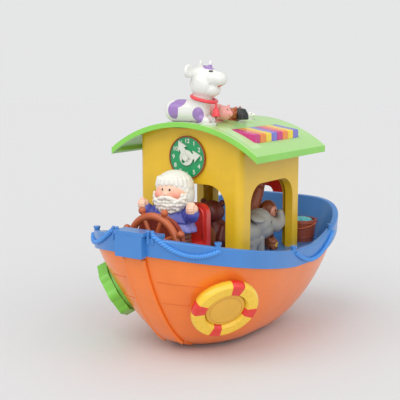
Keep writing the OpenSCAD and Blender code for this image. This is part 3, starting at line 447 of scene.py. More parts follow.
def rounded(name, width, segments=3, angle=35):
    """Breaks the sharp edges of a construction node and shades it smoothly."""
    obj = nodes[name]
    for poly in obj.data.polygons:
        poly.use_smooth = True
    weld = obj.modifiers.new("weld", "WELD")
    weld.merge_threshold = 0.00001
    bevel = obj.modifiers.new("bevel", "BEVEL")
    bevel.width = width * MM
    bevel.segments = segments
    bevel.limit_method = "ANGLE"
    bevel.angle_limit = math.radians(angle)
    bevel.harden_normals = False
    tidy = obj.modifiers.new("normals", "WEIGHTED_NORMAL")
    tidy.keep_sharp = True


# Hull form, as in the construction

BOW_Y = -164.5
STERN_Y = 171
MID_Y = -4
LOW_Y = 27.5
HALF_BEAM = 113
LOW_SHEER = 115
BOW_RISE = 33
STERN_RISE = 39.5
BOW_POWER = 2.5
KEEL_POWER = 1.9
STERN_POWER = 4.2
BILGE_POWER = 1.65
SIDE_FALL = (0.43, 1.0)
BOW_FALL = (0.43, 1.25)
STERN_FALL = (0.40, 2.2)
HULL_INSET = 4
GUNWALE_H = 17
KEEL_Z = 5


def sheer(y):
    """Height of the rail along the hull."""
    if y < LOW_Y:
        return LOW_SHEER + BOW_RISE * ((LOW_Y - y) / (LOW_Y - BOW_Y)) ** 1.4
    return LOW_SHEER + STERN_RISE * ((y - LOW_Y) / (STERN_Y - LOW_Y)) ** 1.67


def outline(angle, power=BOW_POWER):
    """The rail seen from above; 0 degrees is the bow, 180 the stern."""
    c, s = math.cos(math.radians(angle)), math.sin(math.radians(angle))
    q, end = (power, BOW_Y) if c > 0 else (STERN_POWER, STERN_Y)
    across = HALF_BEAM * math.copysign(abs(s) ** (2 / q), s)
    return Vector((across, MID_Y + (end - MID_Y) * abs(c) ** (2 / q)))


def inset(angle, amount, power=BOW_POWER):
    run = (outline(angle + 0.5, power) - outline(angle - 0.5, power)).normalized()
    return outline(angle, power) + amount * Vector((-run.y, run.x))


def rail_point(angle, amount, drop):
    p = inset(angle, amount)
    return Vector((p.x, p.y, sheer(outline(angle).y) - drop))


def fall(level, flat, power):
    """Share of the rail's width left at a level; 0 is under the rail, 1 the keel."""
    return flat + (1 - flat) * max(0, 1 - level ** power) ** (1 / BILGE_POWER)


def hull_point(angle, level, out=0):
    power = BOW_POWER + (KEEL_POWER - BOW_POWER) * level
    top = inset(angle, HULL_INSET - out, power)
    bow = math.cos(math.radians(angle)) > 0
    share = fall(level, *(BOW_FALL if bow else STERN_FALL))
    across = top.x * fall(level, *SIDE_FALL)
    z = sheer(outline(angle, power).y) - GUNWALE_H
    return Vector((across, MID_Y + (top.y - MID_Y) * share, z + (KEEL_Z - z) * level))


def roof_top(x):
    return ROOF_CZ + math.sqrt(ROOF_R * ROOF_R - x * x)


# Construction nodes: materials and broken edges

def dress(mat, *names, width=0, segments=3, angle=35):
    for name in names:
        nodes[name].data.materials.clear()
        nodes[name].data.materials.append(mat)
        if width:
            rounded(name, width, segments, angle)
        else:
            rounded(name, 0.05, 1, angle)


dress(hull_orange, "hull_shell", width=0.8)
dress(hull_orange, "base_plate", "battery_door", width=0.3)
dress(ship_blue, "gunwale", "deck", width=0.5)
dress(ship_blue, "bow_block", width=1.6, segments=4)
dress(ship_blue, "rail_posts", width=0.7)
dress(rope_blue, "rope_swags")
dress(cabin_yellow, "cabin_walls", width=1.0, segments=4)
dress(cabin_yellow, "ceiling_plate", width=0.4)
dress(ring_yellow, "life_ring", width=0.4)
dress(disc_gold, "ring_button", width=0.5)
dress(roof_green, "roof", width=0.9, segments=4)
dress(disc_green, "spinner", width=2.4, segments=5)
dress(disc_green, "spinner_pin", width=0.8)
# The chair takes the brightened red, painted light against its shade.
dress(chair_red_lit, "chair", width=1.6, segments=4)
dress(glossy_red, "rear_pelmet", width=0.6)
dress(dark_plastic, "key_tray", "speaker", "battery_box", width=0.3)
dress(steel, "key_rod", "battery_screw", "base_screws", "front_axle", "rear_axle", width=0.2)
dress(dome_rubber, "key_domes", "animal_domes", width=0.3)
dress(board_green, "circuit_board", width=0.2)
dress(cell_wrap, "cells", width=0.3)
dress(brass, "battery_contacts", width=0.1)
dress(dial_green, "clock_dial", width=0.2)
dress(rim_brown, "clock_rim", width=0.5)
dress(hand_cream, "clock_hands", width=0.5)
dress(hand_cream, "clock_cap", width=0.4)
dress(console_brown, "steering_post", width=0.8)
dress(wood_brown, "steering_cap", "steering_wheel", width=0.5)
dress(bucket_brown, "bucket", width=0.6)
dress(teal, "bucket_fill", width=0.6)
dress(dark_plastic, "front_wheels", "rear_wheels", width=0.4)
for i in range(8):
    dress(key_plastics[i % 4], f"key_{i + 1}", width=0.9, segments=4)


# Cow on the ridge

cow_white = plastic("cow white", WHITE, 0.2, drift=0.015, sheen=0.6, edge=0.05, patches=[
    (PURPLE, [(COW + Vector((-9, -7, 21)), (8.5, 9, 6)), (COW + Vector((-15, -12, 13)), (7, 8, 11))]),
    (PURPLE, [(COW + Vector((18.2, -11.5, 8)), (7, 7, 9))]),
    (PURPLE, [(COW + Vector((-6, 12, 16)), (8, 8, 8)), (COW + Vector((26.5, 1, 61.2)), (9, 9, 4))]),
    ((0.85, 0.20, 0.22), [(COW + Vector((43.5, -4, 38.6)), (4.6, 7, 2.8))]),
])
cow_skin = moulded("cow_figure", (
    limb((-20, 0, 12), 13.2, (12, 0, 12), 13) + egg((-21, 0, 11), (11.8, 13, 12))
    + limb((12, 0, 16), 12, (18, 0, 30), 11.5)
    + egg((20, 0, 42.2), (17.6, 16.6, 16.8)) + egg((17, 0, 52), (14.2, 13.4, 12))
    + egg((25, 0, 53), (9, 9.5, 9)) + egg((37.4, 0, 48.2), (11.2, 10.4, 8.8))
    + egg((30, 0, 48.6), (12.4, 12.4, 10.6)) + egg((28, 0, 36.6), (11.6, 12, 9))
    + limb((16, -5.5, 5), 5.4, (25.5, -5.5, 1.6), 4.6) + limb((16, 5.5, 5), 5.4, (25.5, 5.5, 1.6), 4.6)
    + limb((18, -6.8, 58), 3.4, (20, -8.2, 66.8), 2.2) + limb((21, 7.5, 58), 3.4, (22, 8.5, 66.8), 2.2)
    + egg((9.5, -16.6, 57), (4, 8.8, 8), (20, 0, 0)) + egg((9.5, 16.6, 57), (4, 8.8, 8), (-20, 0, 0))
), COW, cow_white, "cow", 0.7, 7, "cow")
for side in (-1, 1):
    press_in(cow_skin, [COW + Vector((13, side * 18, 57.8))] * 2, 6, 2)
    press_in(cow_skin, [COW + Vector((46, side * 5, 52)), COW + Vector((47, side * 5, 52.5))], 1.5, 1)
    press_in(cow_skin, [COW + Vector((34, side * 6.4, 57)), COW + Vector((31, side * 10, 54))], 3, 1)
    button_eye("cow_eye", cow_skin, COW + Vector((32.4, side * 6.2, 57)), (3, 1.5, 1), "cow")
    mouth = [(34, side * 10.4, 42), (38, side * 8, 40.2), (42.4, side * 5, 38.8), (46, 0, 38.8)]
    press_in(cow_skin, [COW + Vector(p) for p in mouth], 2.2, 1.8)
plug("cow_plug", COW, (-18, 22), 11.8, cow_white, "cow")
collar = []
for t in turns(48):
    flat = Vector((14.6 * math.cos(t), 14.2 * math.sin(t), 0))
    collar.append(COW + Vector((19, 0, 26)) + Matrix.Rotation(math.radians(14), 3, "Y") @ flat)
bar("cow_collar", collar, 2.1, bell_red, "cow", closed=True)
bell_at = COW + Vector((35.2, 0, 6.4))
bell = bmesh.new()
revolve(bell, [(0.1, 0.6), (4.8, 0), (5.2, 1), (4, 4), (3.6, 7), (2.6, 9.2), (1.1, 10.3), (0.1, 10.5)], 32)
bmesh.ops.translate(bell, vec=bell_at, verts=bell.verts)
finish_mesh("cow_bell", bell, bell_red, "cow")
loop = [bell_at + Vector((0, 1.9 * math.sin(t), 12 + 1.9 * math.cos(t))) for t in turns(16)]
bar("cow_bell_loop", loop, 0.6, bell_red, "cow", closed=True)
lumps("cow_bell_clapper", egg((0, 0, -0.6), 1.2), bell_at, soft_black, "cow")


# Pig, horse and lamb on the ridge

pig_pink = plastic("pig pink", PINK, 0.24, drift=0.03, sheen=0.6)
pig_skin = moulded("pig_figure", (
    limb((-12, 0, 6.5), 10.8, (16, 0, 8), 11.6) + egg((25, 0, 8.6), (9.4, 9.6, 9))
    + limb((31, 0, 8.2), 4, (33.5, 0, 8), 3.6)
    + limb((14, -4.5, 2), 3.8, (17.5, -4.5, 0.6), 3.3) + limb((14, 4.5, 2), 3.8, (17.5, 4.5, 0.6), 3.3)
    + egg((25, -7.6, 13), (2.4, 2.2, 6), (15, 20, 0)) + egg((25, 7.6, 13), (2.4, 2.2, 6), (-15, 20, 0))
), PIG, pig_pink, "pig", 0.6, 4, "pig")
for side in (-1, 1):
    press_in(pig_skin, [PIG + Vector((37, side * 1.5, 8.2))] * 2, 1, 0.8)
    button_eye("pig_eye", pig_skin, PIG + Vector((32, side * 3.6, 13)), (1, 1, 0.6), "pig")
PIG_ENDS, PIG_R = (-13, 13), 10.2
plug("pig_plug", PIG, PIG_ENDS, PIG_R, pig_pink, "pig")
clear_roof(pig_skin, PIG, PIG_ENDS, PIG_R)
tail = []
for k in range(18):
    t = 0.45 * k
    tail.append(PIG + Vector((-23 - 1.4 * math.sin(0.9 * t), 2.2 * math.sin(t), 9 + 0.5 * t)))
bar("pig_tail", tail, 0.9, pig_pink, "pig")

horse_brown = plastic("horse brown", (0.72, 0.38, 0.20), 0.26, drift=0.08, sheen=0.5)
horse_skin = moulded("horse_figure", (
    limb((-14, 0, 3.5), 9.4, (14, 0, 4.2), 9.5) + egg((20, 0, 6), (8, 8, 8))
    + egg((28, 0, 6.6), (9, 7, 5.4))
    + egg((25, -4.5, 12), (1.8, 2.2, 3.6)) + egg((25, 4.5, 12), (1.8, 2.2, 3.6))
    + limb((14, -4.5, 0), 3.5, (17.5, -4.5, -0.6), 3.1) + limb((14, 4.5, 0), 3.5, (17.5, 4.5, -0.6), 3.1)
), HORSE, horse_brown, "horse", 0.6, 4, "horse")
for side in (-1, 1):
    button_eye("horse_eye", horse_skin, HORSE + Vector((32, side * 6, 9)), (1.2, 1.2, 0.7), "horse")
HORSE_ENDS, HORSE_R = (-15, 15), 9.4
plug("horse_plug", HORSE, HORSE_ENDS, HORSE_R, horse_brown, "horse")
locks = egg((30, 0, 6), (7.4, 7.6, 6.6))
for k in range(9):
    turn = math.radians(-84 + 21 * k)
    tip = Vector((30.5 + 6.6 * math.cos(turn), 8 * math.sin(turn), 0.8))
    locks += chain([
        ((27, 1.5 * math.sin(turn), 12), 1.9), ((29 + 4 * math.cos(turn), 5.4 * math.sin(turn), 10.6), 1.9),
        ((30 + 6 * math.cos(turn), 7.4 * math.sin(turn), 5.6), 1.8), (tip, 1.3)])
mane = moulded("horse_mane", locks, HORSE, soft_black, "horse", 0.5, 2)
for skin in (horse_skin, mane):
    clear_roof(skin, HORSE, HORSE_ENDS, HORSE_R)

lamb_white = plastic("lamb white", (0.94, 0.94, 0.91), 0.35, drift=0.02)
wool = limb((0.5, 0, -1), 7.2, (18, 0, -1.2), 7.5)
wool += egg((23, 0, 3), (5.4, 5.2, 4.4)) + egg((27.5, 0, 3.6), (3, 3.2, 2.4))
for k in range(60):
    t, along = 2.4 * k, (k + 0.5) / 60
    x = -5 + 25 * along
    reach = math.sqrt(6.4 ** 2 - min(0, x) ** 2)
    wool += egg((x, reach * math.cos(t), -1 + 6.6 * abs(math.sin(t))), 1.7)
wool += egg((21, -5.6, 3.6), (1.6, 2.6, 1.4)) + egg((21, 5.6, 3.6), (1.6, 2.6, 1.4))
lamb_skin = moulded("lamb_figure", wool, LAMB, lamb_white, "lamb", 0.5, 3, "lamb")
for side in (-1, 1):
    button_eye("lamb_eye", lamb_skin, LAMB + Vector((27, side * 3.6, 6)), (0.9, 0.9, 0.6), "lamb")
plug("lamb_plug", LAMB, (0, 19), 8, lamb_white, "lamb")


# Captain: stool, robe, hands and head

robe_violet = plastic("robe violet", (0.31, 0.33, 0.69), 0.34, drift=0.05)
skirt_violet = plastic("skirt violet", (0.52, 0.52, 0.82), 0.34, drift=0.05)
hair_white = plastic("hair white", (0.93, 0.92, 0.88), 0.45, drift=0.03, sheen=0.1)
stool_brown = plastic("stool brown", (0.50, 0.24, 0.15), 0.45, drift=0.15)
skin_pink = plastic("skin pink", SKIN, 0.38, drift=0.03, sheen=0.2, edge=0.5, patches=[
    ((0.96, 0.64, 0.54), [
        (CAPTAIN + Vector((15, -17, 57)), (7, 6, 6)), (CAPTAIN + Vector((-10, -19, 57)), (6, 6, 6))])])

stool = bmesh.new()
revolve(stool, [
    (0.1, 0), (21, 0), (21.6, 1), (21.6, 4.4), (21, 5), (21, 5.6), (21.6, 6.2), (21.6, 9.6), (21, 10.2),
    (21, 10.8), (21.6, 11.4), (20.5, 14), (0.1, 14)], 64)
bmesh.ops.scale(stool, vec=(1, 0.8, 1), verts=stool.verts)
bmesh.ops.translate(stool, vec=CAPTAIN, verts=stool.verts)
finish_mesh("captain_stool", stool, stool_brown, "hull")


def folds(count, depth, low, high):
    """Cloth folds that grow from the waist to the hem."""
    def wave(t, z):
        share = max(0, min(1, (high - z) / (high - low)))
        return 1 + depth * share * math.sin(count * t) + 0.4 * depth * share * math.sin(2.3 * count * t + 1)
    return wave


skirt = bmesh.new()
revolve(skirt, [
    (0.1, 15.5), (23, 15), (27.5, 14.2), (28.6, 14.8), (28.3, 17), (26, 22), (23, 27), (20, 31), (0.1, 32)
], 144, folds(11, 0.03, 14, 30))
bmesh.ops.scale(skirt, vec=(1, 0.74, 1), verts=skirt.verts)
bmesh.ops.translate(skirt, vec=CAPTAIN, verts=skirt.verts)
finish_mesh("captain_skirt", skirt, skirt_violet, "hull")
tunic = bmesh.new()
revolve(tunic, [
    (0.1, 26), (21, 25.2), (24.6, 24.4), (25.4, 25.4), (24.2, 28), (21.6, 32), (20, 36), (15, 40), (0.1, 42)
], 144, folds(9, 0.035, 24, 34))
bmesh.ops.scale(tunic, vec=(1, 0.78, 1), verts=tunic.verts)
bmesh.ops.translate(tunic, vec=CAPTAIN, verts=tunic.verts)
tunic_obj = finish_mesh("captain_tunic", tunic, robe_violet, "hull")
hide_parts("captain_body")
for side in (-1, 1):
    arm = chain([
        ((side * 15, 0, 34), 8), ((side * 24, -3, 32.5), 8.2), ((side * 30, -8, 34), 8),
        ((side * 32, -10, 37), 8)])
    sleeve = moulded("captain_sleeve", arm, CAPTAIN, robe_violet, "hull", 0.6, 3)
    for shift in (0, 3.2, 6.4):
        press_in(sleeve, [CAPTAIN + Vector((side * (19 + shift), -10, 29 + shift * 0.2)),
            CAPTAIN + Vector((side * (21 + shift), -8, 40))], 1.3, 0.8)
    palm = CAPTAIN + Vector((side * 33.5, -12, 43))
    fist = egg((0, 0.5, -0.3), (6.4, 6, 6.2))
    for finger in range(4):
        z = 3.4 - 2.3 * finger
        knuckle = 4.9 + 1.3 * (1 - ((finger - 1.5) / 1.7) ** 2)
        fist += chain([
            ((side * 3.4, 1.4 - knuckle, z), 1.7), ((0, -knuckle, z - 0.2), 1.8),
            ((-side * 3.8, 1.2 - knuckle, z - 0.4), 1.6)])
    fist += chain([((side * 2, -1, 5.6), 2), ((-side * 2.5, -3.6, 6), 1.7)])
    moulded("captain_fist", fist, palm, skin_pink, "hull", 0.45, 4)

head_turn = Matrix.Rotation(math.radians(8), 4, "Z")


def on_head(shapes):
    """Turns head shapes a little towards the port side, about the neck."""
    return [head_turn @ shape for shape in shapes]


def head_at(x, y, z):
    return CAPTAIN + head_turn @ Vector((x, y, z))


face = moulded("captain_face", on_head(
    egg((0, -1, 59), (19.6, 18.8, 19)) + egg((0, -19.8, 58), (3.4, 3.2, 3))
    + egg((-10.5, -13.5, 57), (6.4, 5.6, 5.6)) + egg((10.5, -13.5, 57), (6.4, 5.6, 5.6))
), CAPTAIN, skin_pink, "hull", 0.6, 4, "captain_head")
for side in (-1, 1):
    button_eye("captain_eye", face, head_at(side * 5.2, -20.5, 63), (1.3, 1.7, 0.9), "hull")

cap = egg((0, 3.2, 64.5), (22.4, 20.8, 18.4)) + egg((0, 1, 69), (19.4, 18.6, 12.6))
for k in range(11):
    t = math.radians(-90 + (k - 5) * 17)
    low = 69.8 - 0.2 * abs(k - 5) ** 2 - chance.uniform(0, 2.6)
    root = (17.4 * math.cos(t), 1 + 16.8 * math.sin(t), 73)
    cap += limb(root, 3, (19.4 * math.cos(t), 1 + 18.4 * math.sin(t), low), 2.3)
for side in (-1, 1):
    cap += egg((side * 18, 3, 54), (5, 10, 12)) + egg((side * 16, -5, 51), (4.6, 7, 8))
for k in range(60):
    t = math.radians(chance.uniform(-30, 210))
    z = chance.uniform(46, 62)
    reach = math.sqrt(1 - ((z - 64) / 24) ** 2)
    cap += egg((21.2 * reach * math.cos(t), 3 + 19.6 * reach * math.sin(t), z), chance.uniform(2, 2.8))
moulded("captain_hair", on_head(cap), CAPTAIN, hair_white, "hull", 0.6, 5)

beard = egg((0, -8, 46), (17.5, 12.5, 13)) + egg((0, -5, 52), (18, 12.6, 7))
rows = [
    (56, 19.6, 10.5), (52.6, 20, 12.5), (49, 19.8, 13.4), (45.4, 18.4, 13.2),
    (41.6, 16, 12.2), (38, 12.5, 10.4), (34.8, 8, 7.4)]
for row, (z, rx, ry) in enumerate(rows):
    count = 17 - row
    for k in range(count):
        t = math.radians(180 + 180 * (k + (0.5 if row % 2 else 0.15)) / count)
        if z > 50 and abs(math.cos(t)) < 0.72:
            continue
        curl = (rx * math.cos(t), -7 + ry * math.sin(t), z + chance.uniform(-1.4, 1.4))
        beard += egg(curl, chance.uniform(1.7, 2.5))
for side in (-1, 1):
    beard += chain([
        ((side * 1, -20.6, 54.6), 2.2), ((side * 5, -20.4, 53.4), 2.6), ((side * 9.5, -17.6, 51.8), 2.3),
        ((side * 13.5, -13.6, 51.8), 1.4)])
beard_obj = moulded("captain_beard", on_head(beard), CAPTAIN, hair_white, "hull", 0.5, 2)
press_in(beard_obj, [head_at(0, -24, 52), head_at(0, -23.4, 57)], 1, 1)


# Animals in the cabin

ELEPHANT = Vector((39, 14, DECK_Z))
elephant_grey = plastic("elephant grey", GREY, 0.42, drift=0.05, sheen=0.15, patches=[
    ((0.88, 0.62, 0.60), [(ELEPHANT + Vector((12, 42, 20)), (8, 6, 3.4))])])
elephant = moulded("elephant_figure", (
    limb((-9, -10, 2), 6.8, (-9, -9, 16), 7.4) + limb((9, -10, 2), 6.8, (9, -9, 16), 7.4)
    + limb((-9, 10, 2), 6.8, (-9, 9, 16), 7) + limb((9, 10, 2), 6.8, (9, 9, 16), 7)
    + egg((0, -6, 23), (16.8, 20.5, 17)) + egg((3.4, 17, 33), (17, 20.6, 18.4))
    + egg((5, 19, 25), (15.4, 18, 13)) + egg((8, 33, 18.6), (6.4, 8, 3.6))
    + chain([
        ((9, 32, 30), 11), ((14, 43, 27), 8.4), ((16, 49.5, 30), 7), ((16.4, 51.5, 36), 5.8),
        ((15.6, 50.5, 42), 4.8)])
    + egg((12, 1, 42), (9, 14, 3.4), (0, 30, 0)) + egg((-8, 1, 42), (9, 14, 3.4), (0, -30, 0))
    + egg((2, -5, 14), (15, 18, 11))
), ELEPHANT, elephant_grey, "hull", 0.8, 4, "elephant")
for crease, width, depth in (
    (((18, 11, 38), (19, 8, 33), (18.5, 4.5, 26), (16, -1, 18)), 1.5, 1.6),
    (((18, -12, 36), (19.5, -2, 35.5), (19, 8, 37)), 1.6, 1.4),
    (((16, 30, 21.5), (13, 40, 21.5)), 1.6, 1.6),
):
    press_in(elephant, [ELEPHANT + Vector(p) for p in crease], width, depth)
button_eye("elephant_eye", elephant, ELEPHANT + Vector((19, 19.6, 35)), (1.4, 1.4, 0.8), "hull")
button_eye("elephant_eye", elephant, ELEPHANT + Vector((-14, 22, 36)), (1.4, 1.4, 0.8), "hull")

GIRAFFE = Vector((4, 48, DECK_Z))
giraffe_brown = plastic("giraffe brown", (0.66, 0.36, 0.24), 0.42, drift=0.06, sheen=0.15, patches=[
    ((0.45, 0.18, 0.13), [(GIRAFFE + Vector(p), r) for p, r in (
        ((9, -1, 68), (4, 5, 7)), ((12, -3, 52), (4, 5, 6)), ((6, -12, 34), (6, 6, 6)),
        ((10, 12, 34), (5, 6, 6)), ((-8, 0, 34), (5, 7, 6)), ((14, 14, 60), (4, 5, 6)),
        ((-6, -14, 24), (5, 5, 6)))])])
moulded("giraffe_figure", (
    limb((-7, -10, 2), 4.8, (-6.6, -9.6, 20), 5.2) + limb((7, -10, 2), 4.8, (6.6, -9.6, 20), 5.2)
    + limb((-7, 10, 2), 4.8, (-6.6, 9.6, 20), 5.2) + limb((7, 10, 2), 4.8, (6.6, 9.6, 20), 5.2)
    + egg((0, 0, 27), (11.6, 18.5, 12.6))
    + chain([((9, 3, 32), 9.3), ((16.4, 8.4, 50), 8.8), ((19.4, 12, 64), 8.2), ((21, 16, 76), 6.8)])
    + limb((21, 16, 76), 6.6, (26, 9, 77), 4.8) + egg((18, 17, 81.6), (2.6, 2.6, 3.4))
), GIRAFFE, giraffe_brown, "hull", 0.7, 4, "giraffe")

MONKEY = Vector((33, 64, DECK_Z))
monkey_brown = plastic("monkey brown", (0.55, 0.29, 0.17), 0.45, drift=0.08, sheen=0.12, edge=0.04, patches=[
    ((0.95, 0.66, 0.56), [(MONKEY + Vector((14, 3, 41.4)), (8, 7.4, 8.6))])])
monkey = moulded("monkey_figure", (
    limb((-6, -6.2, 2), 4.4, (-5, -5, 11), 4.6) + limb((6, -6.2, 2), 4.4, (5, -5, 11), 4.6)
    + limb((-6, 6.2, 2), 4.4, (-5, 5, 11), 4.6) + limb((6, 6.2, 2), 4.4, (5, 5, 11), 4.6)
    + egg((0, 0, 20), (10, 10.6, 15.6)) + egg((2, 4, 44.6), (11, 11, 11.6)) + egg((9, 4, 41.6), (5.6, 7, 7.8))
    + egg((12.5, 4, 38.2), (3.2, 4.8, 3.8))
    + egg((2, -7.6, 46), (2.3, 3.4, 4.2)) + egg((2, 15.2, 46), (2.3, 3.4, 4.2))
    + limb((3, -8.2, 26), 3.2, (3, -8.6, 16), 2.9)
), MONKEY, monkey_brown, "hull", 0.6, 3, "monkey")
for y in (1, 7):
    button_eye("monkey_eye", monkey, MONKEY + Vector((16, y, 44.2)), (1.1, 1.1, 0.7), "hull")
press_in(monkey, [MONKEY + Vector((16.5, 0.6, 37.2)), MONKEY + Vector((16.5, 7.4, 37.2))], 0.8, 0.8)

BEAR = Vector((14, -26, DECK_Z))
bear_brown = plastic("bear brown", (0.42, 0.17, 0.13), 0.45, drift=0.1, sheen=0.12, edge=0.1, patches=[
    ((0.66, 0.40, 0.22), [(BEAR + Vector(p), r) for p, r in (
        ((0, -23, 49), (6, 5, 5)), ((0, -15, 25), (12, 6, 14)),
        ((10, -14, 2), (7, 7, 6)), ((-10, -14, 2), (7, 7, 6)))])])
bear = moulded("bear_figure", (
    limb((-10, -8.5, 2), 6.4, (-10, -8, 11), 6.6) + limb((10, -8.5, 2), 6.4, (10, -8, 11), 6.6)
    + limb((-10, 8.5, 2), 6.4, (-10, 8, 11), 6.6) + limb((10, 8.5, 2), 6.4, (10, 8, 11), 6.6)
    + egg((0, 0, 26), (20.5, 16.5, 21.5)) + egg((0, -4, 53), (15.6, 14.6, 13.6))
    + egg((0, -16.6, 50), (6.6, 5.8, 5.6))
    + egg((13, -2, 63.6), (4.2, 2.8, 4.2)) + egg((-13, -2, 63.6), (4.2, 2.8, 4.2))
    + limb((17, -5, 34), 5.8, (18, -12, 22), 5.2) + limb((-17, -5, 34), 5.8, (-18, -12, 22), 5.2)
), BEAR, bear_brown, "hull", 0.8, 3, "bear")
for side in (-1, 1):
    button_eye("bear_eye", bear, BEAR + Vector((side * 6, -17, 57)), (1.4, 1.4, 0.8), "hull")
button_eye("bear_nose", bear, BEAR + Vector((0, -23, 53)), (2.2, 1.6, 1.2), "hull")

CUB = Vector((56, 42, DECK_Z))
cub_brown = plastic("cub brown", (0.56, 0.30, 0.16), 0.45, drift=0.08, sheen=0.12, patches=[
    ((0.93, 0.74, 0.24), [(CUB + Vector((7, 1, 6)), (3.4, 4.4, 3.2))])])
cub = moulded("cub_figure", (
    limb((-3.4, -3.2, 1.4), 2.5, (-3, -3, 4), 2.8) + limb((3.4, -3.2, 1.4), 2.5, (3, -3, 4), 2.8)
    + limb((-3.4, 3.2, 1.4), 2.5, (-3, 3, 4), 2.8) + limb((3.4, 3.2, 1.4), 2.5, (3, 3, 4), 2.8)
    + egg((0, 0, 5), (6.8, 6.8, 4)) + egg((0, 0, 9), (6.8, 6.8, 4.9)) + egg((5, 0, 8), (2.8, 3.4, 2.4))
    + egg((-1, -5, 12.4), (1.9, 2.1, 2.1)) + egg((-1, 5, 12.4), (1.9, 2.1, 2.1))
), CUB, cub_brown, "hull", 0.5, 3, "cub")
for y in (-2.6, 2.6):
    button_eye("cub_eye", cub, CUB + Vector((6, y, 11)), (0.7, 0.7, 0.5), "hull")


# Twisted ropes over the swags, plank grooves in painted shade

ROPE_STEPS = 90
ROPE_DROP = 3.5
ROPE_SAG = 13
ROPE_OUT = 0.8
ROPE_TWIST = 6.5
STRAND_R = 1.7
STRAND_SHIFT = 1.2

strands = bmesh.new()
for side in (-1, 1):
    for first, last, drop, growth in ((9.4, 45, -4.5, 1), (90, 109, ROPE_DROP, 2.1)):
        spine = []
        for k in range(ROPE_STEPS + 1):
            u = k / ROPE_STEPS
            angle = side * (first + (last - first) * u ** growth)
            low = drop + (ROPE_DROP - drop) * u + ROPE_SAG * 4 * u * (1 - u)
            spine.append(rail_point(angle, -ROPE_OUT, low))
        length = sum((b - a).length for a, b in zip(spine, spine[1:]))
        for strand in range(2):
            path = []
            for k, p in enumerate(spine):
                run = (spine[min(k + 1, ROPE_STEPS)] - spine[max(k - 1, 0)]).normalized()
                out = run.cross(Vector((0, 0, 1))).normalized()
                up = out.cross(run)
                t = 2 * math.pi * (length / ROPE_TWIST) * k / ROPE_STEPS + strand * math.pi
                path.append(p + STRAND_SHIFT * (math.cos(t) * out + math.sin(t) * up))
            sweep(strands, path, STRAND_R, 8)
rope_obj = finish_mesh("twisted_ropes", strands, rope_blue, "hull")
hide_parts("rope_swags")

# Plank grooves: thin bars in a darker orange, painted shade of the grooves.
planks = bmesh.new()
for side in (-1, 1):
    for level, first, last in ((0.265, 9.5, 37), (0.475, 11, 29)):
        line = [hull_point(side * (first + (last - first) * k / 24), level, -0.1) for k in range(25)]
        sweep(planks, line, 0.55, 6)
finish_mesh("plank_grooves", planks, groove_shade_orange, "hull")


# Rounded edges of the stem band

STEM_HALF = 13
STEM_PROUD = 4
STEM_EDGE_R = 2.4
STEM_STEPS = 48


def skin_angle(x, level):
    """The hull angle at which the skin stands at a distance from the middle."""
    power = BOW_POWER + (KEEL_POWER - BOW_POWER) * level
    half = (HALF_BEAM - HULL_INSET) * fall(level, *SIDE_FALL)
    return math.degrees(math.asin((x / half) ** (power / 2)))


stem_edges = bmesh.new()
for side in (-1, 1):
    line = []
    for i in range(STEM_STEPS + 1):
        level = 0.06 + 0.88 * i / STEM_STEPS
        edge = hull_point(side * skin_angle(STEM_HALF, level), level)
        line.append(Vector((side * (STEM_HALF - 0.4), edge.y - STEM_PROUD + 1.8, edge.z)))
    sweep(stem_edges, line, STEM_EDGE_R, 16)
finish_mesh("stem_edges", stem_edges, hull_orange, "hull")


# Deck seams, as darker blue bars of painted shade

SEAM_PITCH = 12
SEAM_Z = DECK_Z - 0.25
DECK_HALF = 93
DECK_FORE = 141
DECK_AFT = 155
HELM_HALF = 44
HELM_END = -105


def seam_end(x, y, step, reach, power, share):
    """Walks along a seam from outside the deck until it lies within a share of the deck's outline."""
    while (x / DECK_HALF) ** 4 + (abs(y - MID_Y) / reach) ** power > share:
        y += step
    return y


seams = bmesh.new()
for k in range(-7, 8):
    x = SEAM_PITCH * k
    front = seam_end(x, -150, 1, DECK_FORE, BOW_POWER, 0.92)
    back = seam_end(x, 149, -1, DECK_AFT, STERN_POWER, 0.94)
    if abs(x) < HELM_HALF:
        front = max(front, HELM_END)
    sweep(seams, [Vector((x, front, SEAM_Z)), Vector((x, back, SEAM_Z))], 0.4, 6)
finish_mesh("deck_seams", seams, groove_shade_blue, "hull")


# Clock numerals

def numeral(text, place):
    curve = bpy.data.curves.new("numeral_" + text, "FONT")
    curve.body = text
    curve.align_x = "CENTER"
    curve.align_y = "CENTER"
    curve.size = 7 * MM
    curve.extrude = 0.15 * MM
    curve.offset = 0.16 * MM
    obj = bpy.data.objects.new("numeral_" + text, curve)
    scene.collection.objects.link(obj)
    graph = bpy.context.evaluated_depsgraph_get()
    mesh = bpy.data.meshes.new_from_object(obj.evaluated_get(graph))
    bpy.data.objects.remove(obj)
    mesh.transform(Matrix.Translation(place * MM) @ Matrix.Rotation(math.radians(90), 4, "X"))
    mesh.materials.clear()
    mesh.materials.append(hand_cream)
    piece = bpy.data.objects.new("numeral_" + text, mesh)
    scene.collection.objects.link(piece)
    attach(piece, "hull")


for hour in range(1, 13):
    t = math.radians(30 * hour)
    numeral(str(hour), CLOCK + Vector((19 * math.sin(t), -2.05, 19 * math.cos(t))))


# Life ring bands, groove in the disc as a darker line of painted shade

RING_R = 31
RING_TUBE = 8
RING_FLAT = 6
BAND_START = -11
BAND_HALF = 11.5
BAND_EDGE = 0.06
BAND_LIFT = 0.45
GROOVE_R = 18.6
GROOVE_Z = 3.25
ring_turn = Matrix.Rotation(math.radians(-34), 4, "Z") @ Matrix.Rotation(math.radians(120), 4, "Y")
ring_frame = Matrix.Translation(RING) @ ring_turn


def ring_profile(t, grow):
    """The tube's section: round with a flattened outer face."""
    r = RING_TUBE + grow
    return Vector((RING_R + r * math.cos(t), 0, min(r * math.sin(t), RING_FLAT + grow)))


